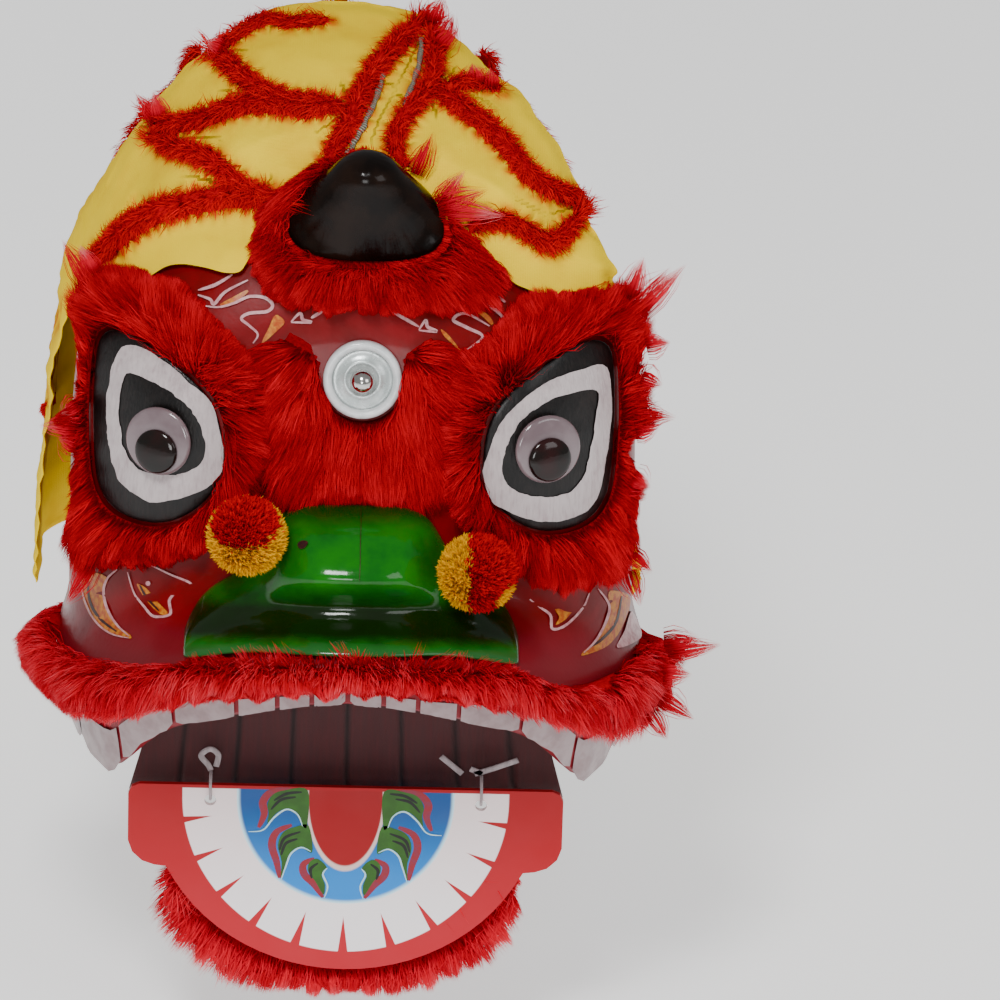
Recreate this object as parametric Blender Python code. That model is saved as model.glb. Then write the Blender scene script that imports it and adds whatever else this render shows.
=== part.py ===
"""Lion dance head for a child: every rigid piece and every plain soft form.

Metres, Z up, the face looks towards minus Y. The origin is the inside of the
crown, where the wearer's head touches it. Tables are in millimetres, in a
frame of their own that is moved by SEAT when a piece is made.
"""

import math

import bmesh
import bpy
from mathutils import Vector
from mathutils.bvhtree import BVHTree

MM = 0.001

# The spot inside the crown that rests on the wearer's head, measured in the tables' own frame
SEAT = Vector((0.0, 25.0, 35.8))

# Main sizes, millimetres
SHELL_WALL = 2.2
HOOD_WALL = 1.8
HOOD_CLEARANCE = 5.0
HOOD_CLEARANCE_CROWN = 9.0
HOOD_CENTRE_X = -9.0
HOOD_CENTRE_Y = 45.0
HEM_WAVES = 14
HEM_WAVE_DEPTH = 2.4
LAY_TILT_DEG = 27.0
FUR_GAP = 1.2
FLANK_LIFT = 2.3
WRAP_RATE = 1.6
WRAP_START_Y = -56.0
SHELL_COLUMNS = 60
HOOD_COLUMNS = 44

LINING_HALF_TOP = 69.0
LINING_HALF_BOTTOM = 98.0
LINING_TOP = (-109.0, -147.0)
LINING_BOTTOM = (-111.0, -252.5)
LINING_WALL = 1.2
PLEAT_PITCH = 24.0
PLEAT_DEPTH = 2.0

MIRROR_X = 3.6
MIRROR_RISE = -94.2
MIRROR_DIAMETER = 35.0
MIRROR_RING_WIDTH = 4.0
MIRROR_BALL_DIAMETER = 11.0

GOOGLY_DIAMETER = 31.0
PUPIL_DIAMETER = 20.0
POMPOM_DIAMETER = 37.0
POST_DIAMETER = 4.0

JAW_BOARD_THICKNESS = 2.4
JAW_BOARD_Y = -125.0
JAW_TOP_Z = -247.4
JAW_ARC_RADIUS = 88.3
JAW_ARC_CENTRE_Z = -253.2
JAW_HOLE_X = 61.0
JAW_HOLE_Z = -255.2
JAW_HOLE_DIAMETER = 5.4
HINGE_Y = -121.35
HINGE_Z = -250.0
TIE_DIAMETER = 1.6
TIE_LOOP_RADIUS = 6.6
BEARD_THICKNESS = 10.0

# Bearings of the shell's stations, degrees round from the front
STATIONS = (0, 24, 34, 40, 62, 90, 135, 180)

# Shell sections from the crown down: level, centre y, reach at each station, height at each station
SHELL_SECTIONS = (
    ("apex", 25, (0,) * 8, (38,) * 8),
    ("cap", 25, (24, 24, 24, 24, 25, 25, 25, 24), (37,) * 8),
    ("crown", 25, (46, 46, 45, 45, 44, 42, 43, 45), (33,) * 8),
    ("top", 22, (72, 73, 73, 73, 70, 64, 67, 72), (21,) * 8),
    ("forehead", 15, (90, 94, 97, 98, 96, 86, 90, 97), (-8,) * 8),
    ("brow", 8, (104, 113, 122, 127, 135, 104, 107, 116), (-45,) * 8),
    ("eye", 3, (109, 118, 130, 135, 140, 115, 121, 131), (-85,) * 8),
    ("cheek", 0, (113, 120, 131, 137, 141, 117, 125, 138), (-112, -114, -117, -118, -120, -120, -120, -120)),
    ("nose", 0, (118, 123, 132, 138, 141, 118, 128, 141), (-126, -131, -137, -141, -150, -152, -150, -150)),
    ("muzzle", 0, (124, 128, 136, 140, 141, 120, 130, 142), (-138, -147, -157, -163, -178, -182, -180, -175)),
    ("shelf", 0, (152, 152, 153, 152, 143, 124, 131, 143), (-149, -160, -174, -181, -198, -203, -195, -188)),
    ("brim", 0, (182, 176, 171, 166, 150, 131, 133, 144), (-158, -172, -186, -194, -209, -213, -206, -198)),
    ("turn", 0, (183, 176, 169, 165, 147, 128, 132, 144), (-165, -184, -203, -220, -226, -222, -210, -203)),
    ("lip", 0, (182, 174, 164, 161, 143, 124, 131, 143), (-175, -199, -222, -247, -244, -232, -216, -208)),
)
SHELL_STEPS = {"apex": 1, "cap": 1, "crown": 1, "top": 2, "forehead": 2, "brow": 2, "eye": 2, "cheek": 1, "nose": 1,
               "muzzle": 2, "shelf": 2, "brim": 1, "turn": 1}

# Hood sections from the crown down: height, half width, reach forward, reach back, bearing of the front edge
HOOD_SECTIONS = (
    (45.0, 0, 0, 0, 0),
    (43.5, 22, 24, 25, 0),
    (40.0, 38, 44, 46, 0),
    (34.0, 52, 64, 66, 0),
    (28.0, 62, 72, 78, 24),
    (14.0, 77, 88, 92, 38),
    (-5.0, 91, 96, 103, 43),
    (-24.0, 102, 100, 109, 52),
    (-44.0, 111, 103, 112, 66),
    (-70.0, 120, 104, 115, 75),
    (-110.0, 129, 104, 115, 77),
    (-150.0, 131, 104, 114, 78),
    (-190.0, 132, 104, 112, 79),
    (-225.0, 133, 104, 111, 80),
)

# Fur strips on the hood: name, width, height, then bearing and height along the strip
HOOD_STRIPS = (
    ("crest_fur_left", 11, 9, ((104, 39), (77, 41.5), (26, 40.5), (7, 36), (-7, 33.5))),
    ("crest_fur_right", 11, 9, ((95, 28), (75, 31), (48, 31.5), (30, 28.5))),
    ("braid_left", 2.6, 2.2, ((44, 39.3), (25, 36.3), (14, 32.5))),
    ("braid_right", 2.6, 2.2, ((62, 35.3), (41, 34.6), (25, 30.8))),
    ("hood_fur_left_1", 12, 8, ((-99, 26.5), (-118, 35), (-140, 40), (-165, 41.5))),
    ("hood_fur_left_2", 12, 8, ((-88, 26), (-66, 32), (-42, 36), (-25, 36))),
    ("hood_fur_left_3", 12, 8, ((-29, 28.5), (-45, 25), (-63, 15), (-80, 6), (-96, -2))),
    ("hood_fur_left_4", 12, 8, ((-85, -15), (-70, -6), (-56, 0), (-44, 6))),
    ("hood_fur_left_5", 12, 8, ((-52, -13), (-62, -29), (-80, -60), (-84, -72))),
    ("hood_fur_left_6", 12, 8, ((-84, -92), (-98, -108), (-86, -132), (-97, -156))),
    ("hood_fur_right_1", 12, 8, ((58, 23.5), (76, 20), (98, 9))),
    ("hood_fur_right_2", 12, 8, ((45, 18.5), (54, 12), (61, 2), (68, -10))),
    ("hood_fur_right_3", 12, 8, ((90, -12), (82, -25), (70, -32), (59, -22), (51, -9))),
    ("hood_fur_back_left", 12, 8, ((-124, 18), (-138, -10), (-118, -42), (-138, -74), (-118, -106), (-136, -138))),
    ("hood_fur_back_middle", 12, 8, ((178, 30), (192, 0), (168, -36), (192, -72), (168, -108), (188, -142))),
    ("hood_fur_back_right", 12, 8, ((124, 18), (140, -10), (118, -42), (138, -74), (118, -106), (136, -138))),
)

# Outlines on the leaning plane: x across and rise up the plane
HORN_BASE = ((-31, -33), (-24, -39), (-12, -42), (3.6, -43), (19, -42), (31, -40), (38.5, -33), (36, -20), (24, -8),
             (3.6, -3), (-17, -8), (-29, -20))
RUFF_OUTER = ((-44, -33), (-39, -52), (-23, -61), (3.6, -62), (35, -61), (55, -56), (62, -38), (52, -21), (32, -3),
              (3.6, 5), (-22, -4), (-37, -16))
FOREHEAD_OUTER = ((-26, -66), (-1, -65), (28, -66), (37, -86), (35.5, -108), (35.5, -130), (40, -144), (30, -147),
                  (3.6, -146), (-23, -147), (-33, -144), (-34, -121), (-34, -103), (-37, -85))
EYE_PLATE = ((-111.5, -71.5), (-91, -80.5), (-72.5, -95), (-62, -107), (-57.5, -124), (-59, -141), (-68, -153),
             (-84.5, -160.5), (-103, -156), (-112.5, -144), (-115, -121), (-115, -95))
EYE_FUR_OUTER = ((-115, -58), (-108, -50), (-94, -50), (-78, -58), (-60, -74), (-46, -90), (-39, -107), (-39, -130),
                 (-45, -147), (-60, -163), (-76, -176), (-100, -180), (-116, -179), (-120, -166), (-121, -146),
                 (-121, -116), (-120, -86), (-118, -68))
EYE_CENTRE = (-88, -119)
GOOGLY_CENTRE = (-84.5, -122.5)
PUPIL_CENTRE = (-84.8, -126.8)

# Horn sections from the base up: centre y, centre z, half width, half depth, forward lean in degrees
HORN_SECTIONS = (
    (-60.0, 3.5, 34.5, 21.0, 34),
    (-61.0, 8.5, 33.0, 20.5, 32),
    (-62.5, 15.0, 28.5, 18.5, 28),
    (-64.5, 22.0, 22.5, 16.0, 24),
    (-66.0, 28.0, 17.5, 13.5, 20),
    (-67.5, 33.5, 13.5, 12.0, 16),
    (-68.5, 37.0, 8.5, 8.0, 14),
    (-69.0, 38.6, 0.0, 0.0, 12),
)
HORN_CENTRE_X = 3.6

# Nose relief: x, rise of the top edge, rise of the bottom edge, then relief from the top edge to the bottom edge
NOSE_CENTRE_X = 1.0
NOSE_SPANS = (0.0, 0.12, 0.26, 0.4, 0.52, 0.6, 0.68, 0.8, 0.9, 1.0)
NOSE_SECTIONS = (
    (0, -150, -217.5, (4, 19, 29, 34, 33, 20, 8, 4, 6, 4)),
    (14, -150, -217.5, (4, 19, 29, 34, 33, 20, 8, 4, 6, 4)),
    (26, -151, -217.0, (4, 17, 27, 31, 30, 18, 7, 4, 6, 4)),
    (34, -155, -216.5, (4, 13, 21, 24, 22, 14, 6, 4, 6, 4)),
    (39, -164, -216.5, (3, 9, 14, 16, 13, 9, 5, 4, 6, 4)),
    (50, -180, -217.0, (3, 8, 11, 11, 8, 5, 4, 4, 6, 4)),
    (62, -187, -218.5, (3, 7, 9, 9, 7, 5, 4, 4, 5, 4)),
    (70, -195, -219.5, (3, 5, 7, 7, 6, 5, 4, 4, 4, 3)),
    (74.5, -207, -219.5, (2, 3, 4, 4, 4, 4, 3, 3, 3, 2)),
)

# Lip roll along the brim: bearing, half width of the roll, half height of the roll
LIP_ROLL = (
    (-84, 5.0, 8.0),
    (-76, 8.0, 13.0),
    (-62, 9.0, 14.5),
    (-40, 8.5, 11.5),
    (-20, 7.5, 9.0),
    (0, 7.0, 8.0),
    (20, 7.5, 9.0),
    (40, 8.5, 11.5),
    (62, 9.0, 14.5),
    (76, 8.0, 13.0),
    (84, 5.0, 8.0),
)

# Pompoms: side, centre x, y, z
POMPOMS = (
    ("left", -46.0, -146.0, -110.5),
    ("right", 56.0, -149.0, -125.0),
)

# Half outline of the jaw board from the top edge to the notch: x, z
JAW_LOBE = ((93.0, -247.4), (96.5, -249.0), (98.0, -252.5), (98.0, -276.5), (96.0, -282.5), (91.5, -287.0),
            (86.0, -289.0), (80.8, -289.6))

# Beard crescent behind the jaw board: degrees from straight down, inner radius, outer radius
BEARD_SECTIONS = (
    (-64, 78.0, 92.0),
    (-52, 70.0, 98.0),
    (-36, 66.0, 101.0),
    (-18, 66.0, 103.5),
    (0, 66.0, 104.0),
    (18, 66.0, 103.5),
    (36, 66.0, 101.0),
    (52, 70.0, 98.0),
    (64, 78.0, 92.0),
)


def clear_scene():
    """Remove the objects that the file opened with."""
    for item in list(bpy.data.objects):
        bpy.data.objects.remove(item, do_unlink=True)


def finish(name, colour, roughness, metallic=0.0):
    """Return a plain material."""
    material = bpy.data.materials.new(name)
    material.use_nodes = True
    shader = material.node_tree.nodes["Principled BSDF"]
    shader.inputs["Base Color"].default_value = (*colour, 1.0)
    shader.inputs["Roughness"].default_value = roughness
    shader.inputs["Metallic"].default_value = metallic
    material.diffuse_color = (*colour, 1.0)
    return material


def smooth_value(keys, values, at):
    """Interpolate a table without overshoot."""
    count = len(keys)
    if at <= keys[0]:
        return values[0]
    if at >= keys[-1]:
        return values[-1]
    slopes = [(values[i + 1] - values[i]) / (keys[i + 1] - keys[i]) for i in range(count - 1)]
    tangents = [0.0] * count
    for i in range(1, count - 1):
        if slopes[i - 1] * slopes[i] > 0:
            tangents[i] = 2 * slopes[i - 1] * slopes[i] / (slopes[i - 1] + slopes[i])
    low = 0
    while at > keys[low + 1]:
        low += 1
    span = keys[low + 1] - keys[low]
    t = (at - keys[low]) / span
    a = 2 * t ** 3 - 3 * t ** 2 + 1
    b = t ** 3 - 2 * t ** 2 + t
    c = -2 * t ** 3 + 3 * t ** 2
    d = t ** 3 - t ** 2
    return a * values[low] + b * span * tangents[low] + c * values[low + 1] + d * span * tangents[low + 1]


def rounded_path(points, steps, closed):
    """Run a smooth curve through points, with a number of steps in each span."""
    count = len(points)
    spans = count if closed else count - 1
    curve = []
    for i in range(spans):
        if closed:
            p0, p1, p2, p3 = (Vector(points[(i + k) % count]) for k in (-1, 0, 1, 2))
        else:
            p0, p1, p2, p3 = (Vector(points[min(max(i + k, 0), count - 1)]) for k in (-1, 0, 1, 2))
        for step in range(steps):
            t = step / steps
            curve.append(0.5 * (2 * p1 + (p2 - p0) * t + (2 * p0 - 5 * p1 + 4 * p2 - p3) * t ** 2
                                + (3 * p1 - p0 - 3 * p2 + p3) * t ** 3))
    if not closed:
        curve.append(Vector(points[-1]))
    return curve


def polar_outline(points, centre, count):
    """Resample a closed outline at equal bearings about a centre."""
    curve = [p - Vector(centre) for p in rounded_path(points, 6, True)]
    outline = []
    for k in range(count):
        bearing = 2 * math.pi * k / count
        ray = Vector((math.cos(bearing), math.sin(bearing)))
        reach = 0.0
        for a, b in zip(curve, curve[1:] + curve[:1]):
            edge = b - a
            cross = ray.x * edge.y - ray.y * edge.x
            if abs(cross) < 1e-9:
                continue
            along = (a.x * edge.y - a.y * edge.x) / cross
            share = (a.x * ray.y - a.y * ray.x) / cross
            if along > reach and -1e-6 <= share <= 1 + 1e-6:
                reach = along
        outline.append(Vector(centre) + ray * reach)
    return outline


def solid_from_lists(name, points, faces, material, smooth=True):
    """Make one closed object from points in millimetres and faces."""
    mesh = bpy.data.meshes.new(name)
    mesh.from_pydata([(p - SEAT) * MM for p in points], [], faces)
    work = bmesh.new()
    work.from_mesh(mesh)
    bmesh.ops.remove_doubles(work, verts=work.verts, dist=0.00001)
    bmesh.ops.dissolve_degenerate(work, edges=work.edges, dist=0.000005)
    bmesh.ops.triangulate(work, faces=[f for f in work.faces if len(f.verts) > 3])
    bmesh.ops.recalc_face_normals(work, faces=work.faces)
    if work.calc_volume(signed=True) < 0:
        bmesh.ops.reverse_faces(work, faces=work.faces)
    work.to_mesh(mesh)
    work.free()
    for polygon in mesh.polygons:
        polygon.use_smooth = smooth
    item = bpy.data.objects.new(name, mesh)
    item.data.materials.append(material)
    bpy.context.scene.collection.objects.link(item)
    return item


def sheet_solid(name, outer, inner, closed_round, material, open_first=True, open_last=True, smooth=True):
    """Close the space between two grids of points: rows of equal length."""
    rows = len(outer)
    columns = len(outer[0])
    points = [p for row in outer for p in row] + [p for row in inner for p in row]
    offset = rows * columns
    faces = []
    spans = columns if closed_round else columns - 1
    for i in range(rows - 1):
        for j in range(spans):
            k = (j + 1) % columns
            a, b = i * columns + j, i * columns + k
            c, d = (i + 1) * columns + k, (i + 1) * columns + j
            faces.append((a, b, c, d))
            faces.append((offset + d, offset + c, offset + b, offset + a))
    for i, needed in ((0, open_first), (rows - 1, open_last)):
        if needed:
            for j in range(spans):
                k = (j + 1) % columns
                a, b = i * columns + j, i * columns + k
                faces.append((a, offset + a, offset + b, b) if i == 0 else (a, b, offset + b, offset + a))
    if not closed_round:
        for j in (0, columns - 1):
            for i in range(rows - 1):
                a, b = i * columns + j, (i + 1) * columns + j
                faces.append((a, b, offset + b, offset + a) if j == 0 else (a, offset + a, offset + b, b))
    return solid_from_lists(name, points, faces, material, smooth)


def loft_solid(name, sections, material, closed_path=False, smooth=True):
    """Skin a run of closed sections and cap its ends."""
    rows = len(sections)
    columns = len(sections[0])
    points = [p for row in sections for p in row]
    faces = []
    for i in range(rows if closed_path else rows - 1):
        for j in range(columns):
            k = (j + 1) % columns
            n = (i + 1) % rows
            faces.append((i * columns + j, i * columns + k, n * columns + k, n * columns + j))
    if not closed_path:
        faces.append(tuple(reversed(range(columns))))
        faces.append(tuple((rows - 1) * columns + j for j in range(columns)))
    return solid_from_lists(name, points, faces, material, smooth)


def grid_normals(grid, closed_round, centre):
    """Return a unit normal at each grid point, pointing away from the centre."""
    rows = len(grid)
    columns = len(grid[0])
    normals = []
    for i in range(rows):
        line = []
        for j in range(columns):
            left = grid[i][(j - 1) % columns] if closed_round else grid[i][max(j - 1, 0)]
            right = grid[i][(j + 1) % columns] if closed_round else grid[i][min(j + 1, columns - 1)]
            above = grid[max(i - 1, 0)][j]
            below = grid[min(i + 1, rows - 1)][j]
            normal = (right - left).cross(below - above)
            if normal.length < 1e-6:
                normal = Vector((0, 0, 1))
            normal.normalize()
            if normal.dot(grid[i][j] - centre) < 0:
                normal.negate()
            line.append(normal)
        normals.append(line)
    return normals


def shell_grid():
    """Return the outer surface of the moulded shell as rows of points."""
    keys = list(range(len(SHELL_SECTIONS)))
    levels = []
    for index, section in enumerate(SHELL_SECTIONS[:-1]):
        steps = SHELL_STEPS[section[0]]
        levels.extend(index + step / steps for step in range(steps))
    levels.append(keys[-1])
    reaches = [[s[2][k] for s in SHELL_SECTIONS] for k in range(len(STATIONS))]
    heights = [[s[3][k] for s in SHELL_SECTIONS] for k in range(len(STATIONS))]
    centres = [s[1] for s in SHELL_SECTIONS]
    grid = []
    for level in levels:
        reach_row = [smooth_value(keys, column, level) for column in reaches]
        height_row = [smooth_value(keys, column, level) for column in heights]
        centre_y = smooth_value(keys, centres, level)
        row = []
        for j in range(SHELL_COLUMNS):
            bearing = 360.0 * j / SHELL_COLUMNS
            folded = bearing if bearing <= 180 else 360 - bearing
            reach = smooth_value(STATIONS, reach_row, folded)
            height = smooth_value(STATIONS, height_row, folded)
            turn = math.radians(bearing)
            row.append(Vector((reach * math.sin(turn), centre_y - reach * math.cos(turn), height)))
        grid.append(row)
    return grid


def grid_tree(grid):
    """Return a ray-cast tree of a grid that closes round."""
    columns = len(grid[0])
    points = [p for row in grid for p in row]
    faces = []
    for i in range(len(grid) - 1):
        for j in range(columns):
            k = (j + 1) % columns
            a, b, c, d = i * columns + j, i * columns + k, (i + 1) * columns + k, (i + 1) * columns + j
            faces.append((a, b, c))
            faces.append((a, c, d))
    return BVHTree.FromPolygons(points, faces)


class LeaningPlane:
    """A drawing plane that leans back, and the shell that outlines are laid on."""

    def __init__(self, tree, tilt_deg):
        tilt = math.radians(tilt_deg)
        self.tree = tree
        self.up = Vector((0, math.sin(tilt), math.cos(tilt)))
        self.inward = Vector((0, math.cos(tilt), -math.sin(tilt)))

    def lay(self, x, rise):
        """Return the point and normal on the shell behind a drawn point."""
        start = Vector((x, 0, 0)) + self.up * rise - self.inward * 600
        hit, normal, _, _ = self.tree.ray_cast(start, self.inward)
        if hit is None:
            edge = x
            while hit is None:
                edge -= math.copysign(0.5, x)
                hit, normal, _, _ = self.tree.ray_cast(start + Vector((edge - x, 0, 0)), self.inward)
            side_y = min(hit.y, WRAP_START_Y) + WRAP_RATE * abs(x - edge)
            height = (rise - side_y * self.up.y) / self.up.z
            hit, normal, _, _ = self.tree.find_nearest(Vector((x, side_y, height)))
        if normal.dot(hit - Vector((0, 0, hit.z))) < 0 and normal.z < 0.2:
            normal = -normal
        return hit, normal

    def raised(self, point, least):
        """Return the point, moved out if it is closer to the shell than the least height."""
        hit, _ = self.lay(point.x, point.dot(self.up))
        height = (hit - point).dot(self.inward)
        return point - self.inward * max(least - height, 0.0)


def fur_band(name, plane, inner, outer, steps, height, edge, material):
    """Make a pad of fur between two outlines, swollen along its middle."""
    top = []
    base = []
    for step in range(steps + 1):
        share = step / steps
        swell = edge + (height - edge) * math.sin(math.pi * min(max(share, 0.0), 1.0)) ** 0.7
        top_row = []
        base_row = []
        for a, b in zip(inner, outer):
            spot = a.lerp(b, share)
            hit, normal = plane.lay(spot.x, spot.y)
            gap = FUR_GAP + FLANK_LIFT * min(max((abs(hit.x) - 98) / 14, 0.0), 1.0)
            base_row.append(hit + normal * gap)
            top_row.append(hit + normal * (gap + swell))
        top.append(top_row)
        base.append(base_row)
    return sheet_solid(name, top, base, True, material)


def laid_plate(name, plane, outline, centre, gap, thickness, rings, material, dome=0.0):
    """Lay a plate on the shell: an outline filled with rings about its centre."""
    top = []
    base = []
    for ring in range(rings + 1):
        share = ring / rings
        top_row = []
        base_row = []
        for spot in outline:
            point = Vector(centre).lerp(spot, share)
            hit, normal = plane.lay(point.x, point.y)
            base_row.append(hit + normal * gap)
            top_row.append(hit + normal * (gap + thickness + dome * (1 - share ** 2)))
        top.append(top_row)
        base.append(base_row)
    return sheet_solid(name, top, base, True, material, open_first=False)


def turned_solid(name, base, axis, profile, count, material, smooth=True):
    """Turn a profile of radius and height pairs about an axis."""
    axis = axis.normalized()
    side = axis.cross(Vector((1, 0, 0))).normalized()
    across = axis.cross(side)
    sections = []
    for radius, height in profile:
        row = []
        for k in range(count):
            bearing = 2 * math.pi * k / count
            row.append(base + axis * height + (side * math.cos(bearing) + across * math.sin(bearing)) * radius)
        sections.append(row)
    return loft_solid(name, sections, material, smooth=smooth)


def ball(name, centre, radius, material, rings=8, count=14):
    """Make a ball."""
    profile = [(max(radius * math.sin(math.pi * k / rings), 0.0), -radius * math.cos(math.pi * k / rings))
               for k in range(rings + 1)]
    return turned_solid(name, centre, Vector((0, 0, 1)), profile, count, material)


def tube(name, path, radius, count, material, closed_path=False):
    """Run a round cord along a path."""
    sections = []
    total = len(path)
    side = None
    for i, point in enumerate(path):
        ahead = path[(i + 1) % total] if closed_path else path[min(i + 1, total - 1)]
        behind = path[(i - 1) % total] if closed_path else path[max(i - 1, 0)]
        along = (ahead - behind).normalized()
        if side is None:
            side = along.cross(Vector((0.31, 0.2, 0.93))).normalized()
        side = (side - along * side.dot(along)).normalized()
        across = along.cross(side)
        sections.append([point + (side * math.cos(2 * math.pi * k / count)
                                  + across * math.sin(2 * math.pi * k / count)) * radius for k in range(count)])
    return loft_solid(name, sections, material, closed_path)


class Hood:
    """The cloth hood that covers the crown, the back and both flanks."""

    def __init__(self, shell_tree):
        self.shell_tree = shell_tree
        self.heights = [-row[0] for row in HOOD_SECTIONS]
        self.tree = None
        self.grid = []

    def surface_point(self, bearing_deg, height, waves=True):
        """Return the outer point of the hood at a bearing and a height."""
        half, front, back = (smooth_value(self.heights, [row[k] for row in HOOD_SECTIONS], -height)
                             for k in (1, 2, 3))
        turn = math.radians(bearing_deg)
        reach = front if math.cos(turn) > 0 else back
        if half < 1e-6 or reach < 1e-6:
            radius = 0.0
        else:
            radius = 1 / math.sqrt((math.sin(turn) / half) ** 2 + (math.cos(turn) / reach) ** 2)
        share = min(max(-height / 225, 0.0), 1.0)
        if waves:
            radius *= 1 + HEM_WAVE_DEPTH / 130 * share ** 2 * math.cos(HEM_WAVES * turn)
        ray = Vector((math.sin(turn), -math.cos(turn), 0))
        centre = Vector((HOOD_CENTRE_X, HOOD_CENTRE_Y, height))
        hit, _, _, _ = self.shell_tree.ray_cast(centre + ray * 400, -ray)
        if hit is not None:
            crown_share = min(max((height + 60) / 60, 0.0), 1.0)
            clearance = HOOD_CLEARANCE + (HOOD_CLEARANCE_CROWN - HOOD_CLEARANCE) * crown_share
            radius = max(radius, (hit - centre).dot(ray) + clearance + HOOD_WALL)
        return centre + ray * radius

    def build(self, material):
        """Build the hood's wall."""
        rows = []
        for low in range(len(HOOD_SECTIONS) - 1):
            steps = 1 if low < 7 else 2
            for step in range(steps):
                rows.append(low + step / steps)
        rows.append(len(HOOD_SECTIONS) - 1)
        keys = list(range(len(HOOD_SECTIONS)))
        for level in rows:
            height = smooth_value(keys, [row[0] for row in HOOD_SECTIONS], level)
            edge = smooth_value(keys, [row[4] for row in HOOD_SECTIONS], level)
            row = []
            for j in range(HOOD_COLUMNS + 1):
                bearing = edge + (360 - 2 * edge) * j / HOOD_COLUMNS
                row.append(self.surface_point(bearing, height))
            self.grid.append(row)
        normals = grid_normals(self.grid, False, Vector((HOOD_CENTRE_X, HOOD_CENTRE_Y, -90)))
        inner = [[p - n * HOOD_WALL for p, n in zip(row, line)] for row, line in zip(self.grid, normals)]
        inner[0] = [Vector((HOOD_CENTRE_X, HOOD_CENTRE_Y, self.grid[0][0].z - HOOD_WALL))] * len(inner[0])
        return hood_solid("hood", self.grid, inner, material)


def hood_solid(name, outer, inner, material):
    """Close the hood: its first rows meet in front, its lower rows stay open."""
    rows = len(outer)
    columns = len(outer[0])
    points = [p for row in outer for p in row] + [p for row in inner for p in row]
    offset = rows * columns
    closed_rows = [i for i in range(rows) if (outer[i][0] - outer[i][-1]).length < 0.01]
    last_closed = closed_rows[-1]
    for i in range(last_closed + 1):
        points[offset + i * columns + columns - 1] = points[offset + i * columns]
    faces = []
    for i in range(rows - 1):
        for j in range(columns - 1):
            a, b = i * columns + j, i * columns + j + 1
            c, d = (i + 1) * columns + j + 1, (i + 1) * columns + j
            faces.append((a, b, c, d))
            faces.append((offset + d, offset + c, offset + b, offset + a))
    for j in range(columns - 1):
        a, b = (rows - 1) * columns + j, (rows - 1) * columns + j + 1
        faces.append((a, b, offset + b, offset + a))
    for j in (0, columns - 1):
        for i in range(last_closed, rows - 1):
            a, b = i * columns + j, (i + 1) * columns + j
            faces.append((a, b, offset + b, offset + a))
    return solid_from_lists(name, points, faces, material)


def strip_solid(name, path, normals, width, height, material, count=6):
    """Lay a half-round strip of fur along a path, tapering at both ends."""
    sections = []
    total = len(path)
    for i, (point, normal) in enumerate(zip(path, normals)):
        along = (path[min(i + 1, total - 1)] - path[max(i - 1, 0)]).normalized()
        side = along.cross(normal).normalized()
        share = i / (total - 1)
        swell = 0.35 + 0.65 * min(1.0, 5 * min(share, 1 - share))
        row = []
        for k in range(count):
            bearing = 2 * math.pi * k / count
            lift = FUR_GAP + height * swell * 0.5 * (1 + math.sin(bearing))
            row.append(point + side * math.cos(bearing) * width * 0.5 * swell + normal * lift)
        sections.append(row)
    return loft_solid(name, sections, material)


def build_shell(material):
    """Build the moulded shell and return its outer grid."""
    grid = shell_grid()
    normals = grid_normals(grid, True, Vector((0, 0, -110)))
    inner = [[p - n * SHELL_WALL for p, n in zip(row, line)] for row, line in zip(grid, normals)]
    inner[0] = [Vector((0, 25, 38 - SHELL_WALL))] * SHELL_COLUMNS
    sheet_solid("head_shell", grid, inner, True, material, open_first=False)
    return grid


def build_lining(material):
    """Build the pleated curtain behind the mouth."""
    half_count = 8
    front = []
    back = []
    rows = 3
    for i in range(rows + 1):
        share = i / rows
        half = LINING_HALF_TOP + (LINING_HALF_BOTTOM - LINING_HALF_TOP) * share
        y = LINING_TOP[0] + (LINING_BOTTOM[0] - LINING_TOP[0]) * share
        z = LINING_TOP[1] + (LINING_BOTTOM[1] - LINING_TOP[1]) * share
        front_row = []
        back_row = []
        for j in range(-half_count, half_count + 1):
            fold = PLEAT_DEPTH * (0.5 if j % 2 else -0.5)
            front_row.append(Vector((half * j / half_count, y + fold, z)))
            back_row.append(Vector((half * j / half_count, y + fold + LINING_WALL, z)))
        front.append(front_row)
        back.append(back_row)
    sheet_solid("mouth_lining", front, back, False, material, smooth=False)


def build_horn(plane, outline, centre, material):
    """Build the rounded horn: its foot follows the shell, its sides rise to a round tip."""
    count = len(outline)
    rings = len(HORN_SECTIONS)
    top = []
    base = []
    for ring, (centre_y, centre_z, half_width, half_depth, lean) in enumerate(reversed(HORN_SECTIONS)):
        share = ring / (rings - 1)
        tilt = math.radians(lean)
        back = Vector((0, math.cos(tilt), math.sin(tilt)))
        top_row = []
        base_row = []
        for k in range(count):
            bearing = 2 * math.pi * k / count
            spot = Vector(centre).lerp(outline[k], share)
            hit, normal = plane.lay(spot.x, spot.y)
            base_row.append(hit + normal * FUR_GAP)
            if ring == rings - 1:
                top_row.append(hit + normal * (FUR_GAP + 2.0))
            else:
                point = (Vector((HORN_CENTRE_X, centre_y, centre_z))
                         + Vector((1, 0, 0)) * half_width * math.cos(bearing)
                         + back * half_depth * math.sin(bearing))
                top_row.append(plane.raised(point, FUR_GAP + 3.0))
        top.append(top_row)
        base.append(base_row)
    sheet_solid("horn", top, base, True, material, open_first=False)


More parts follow.
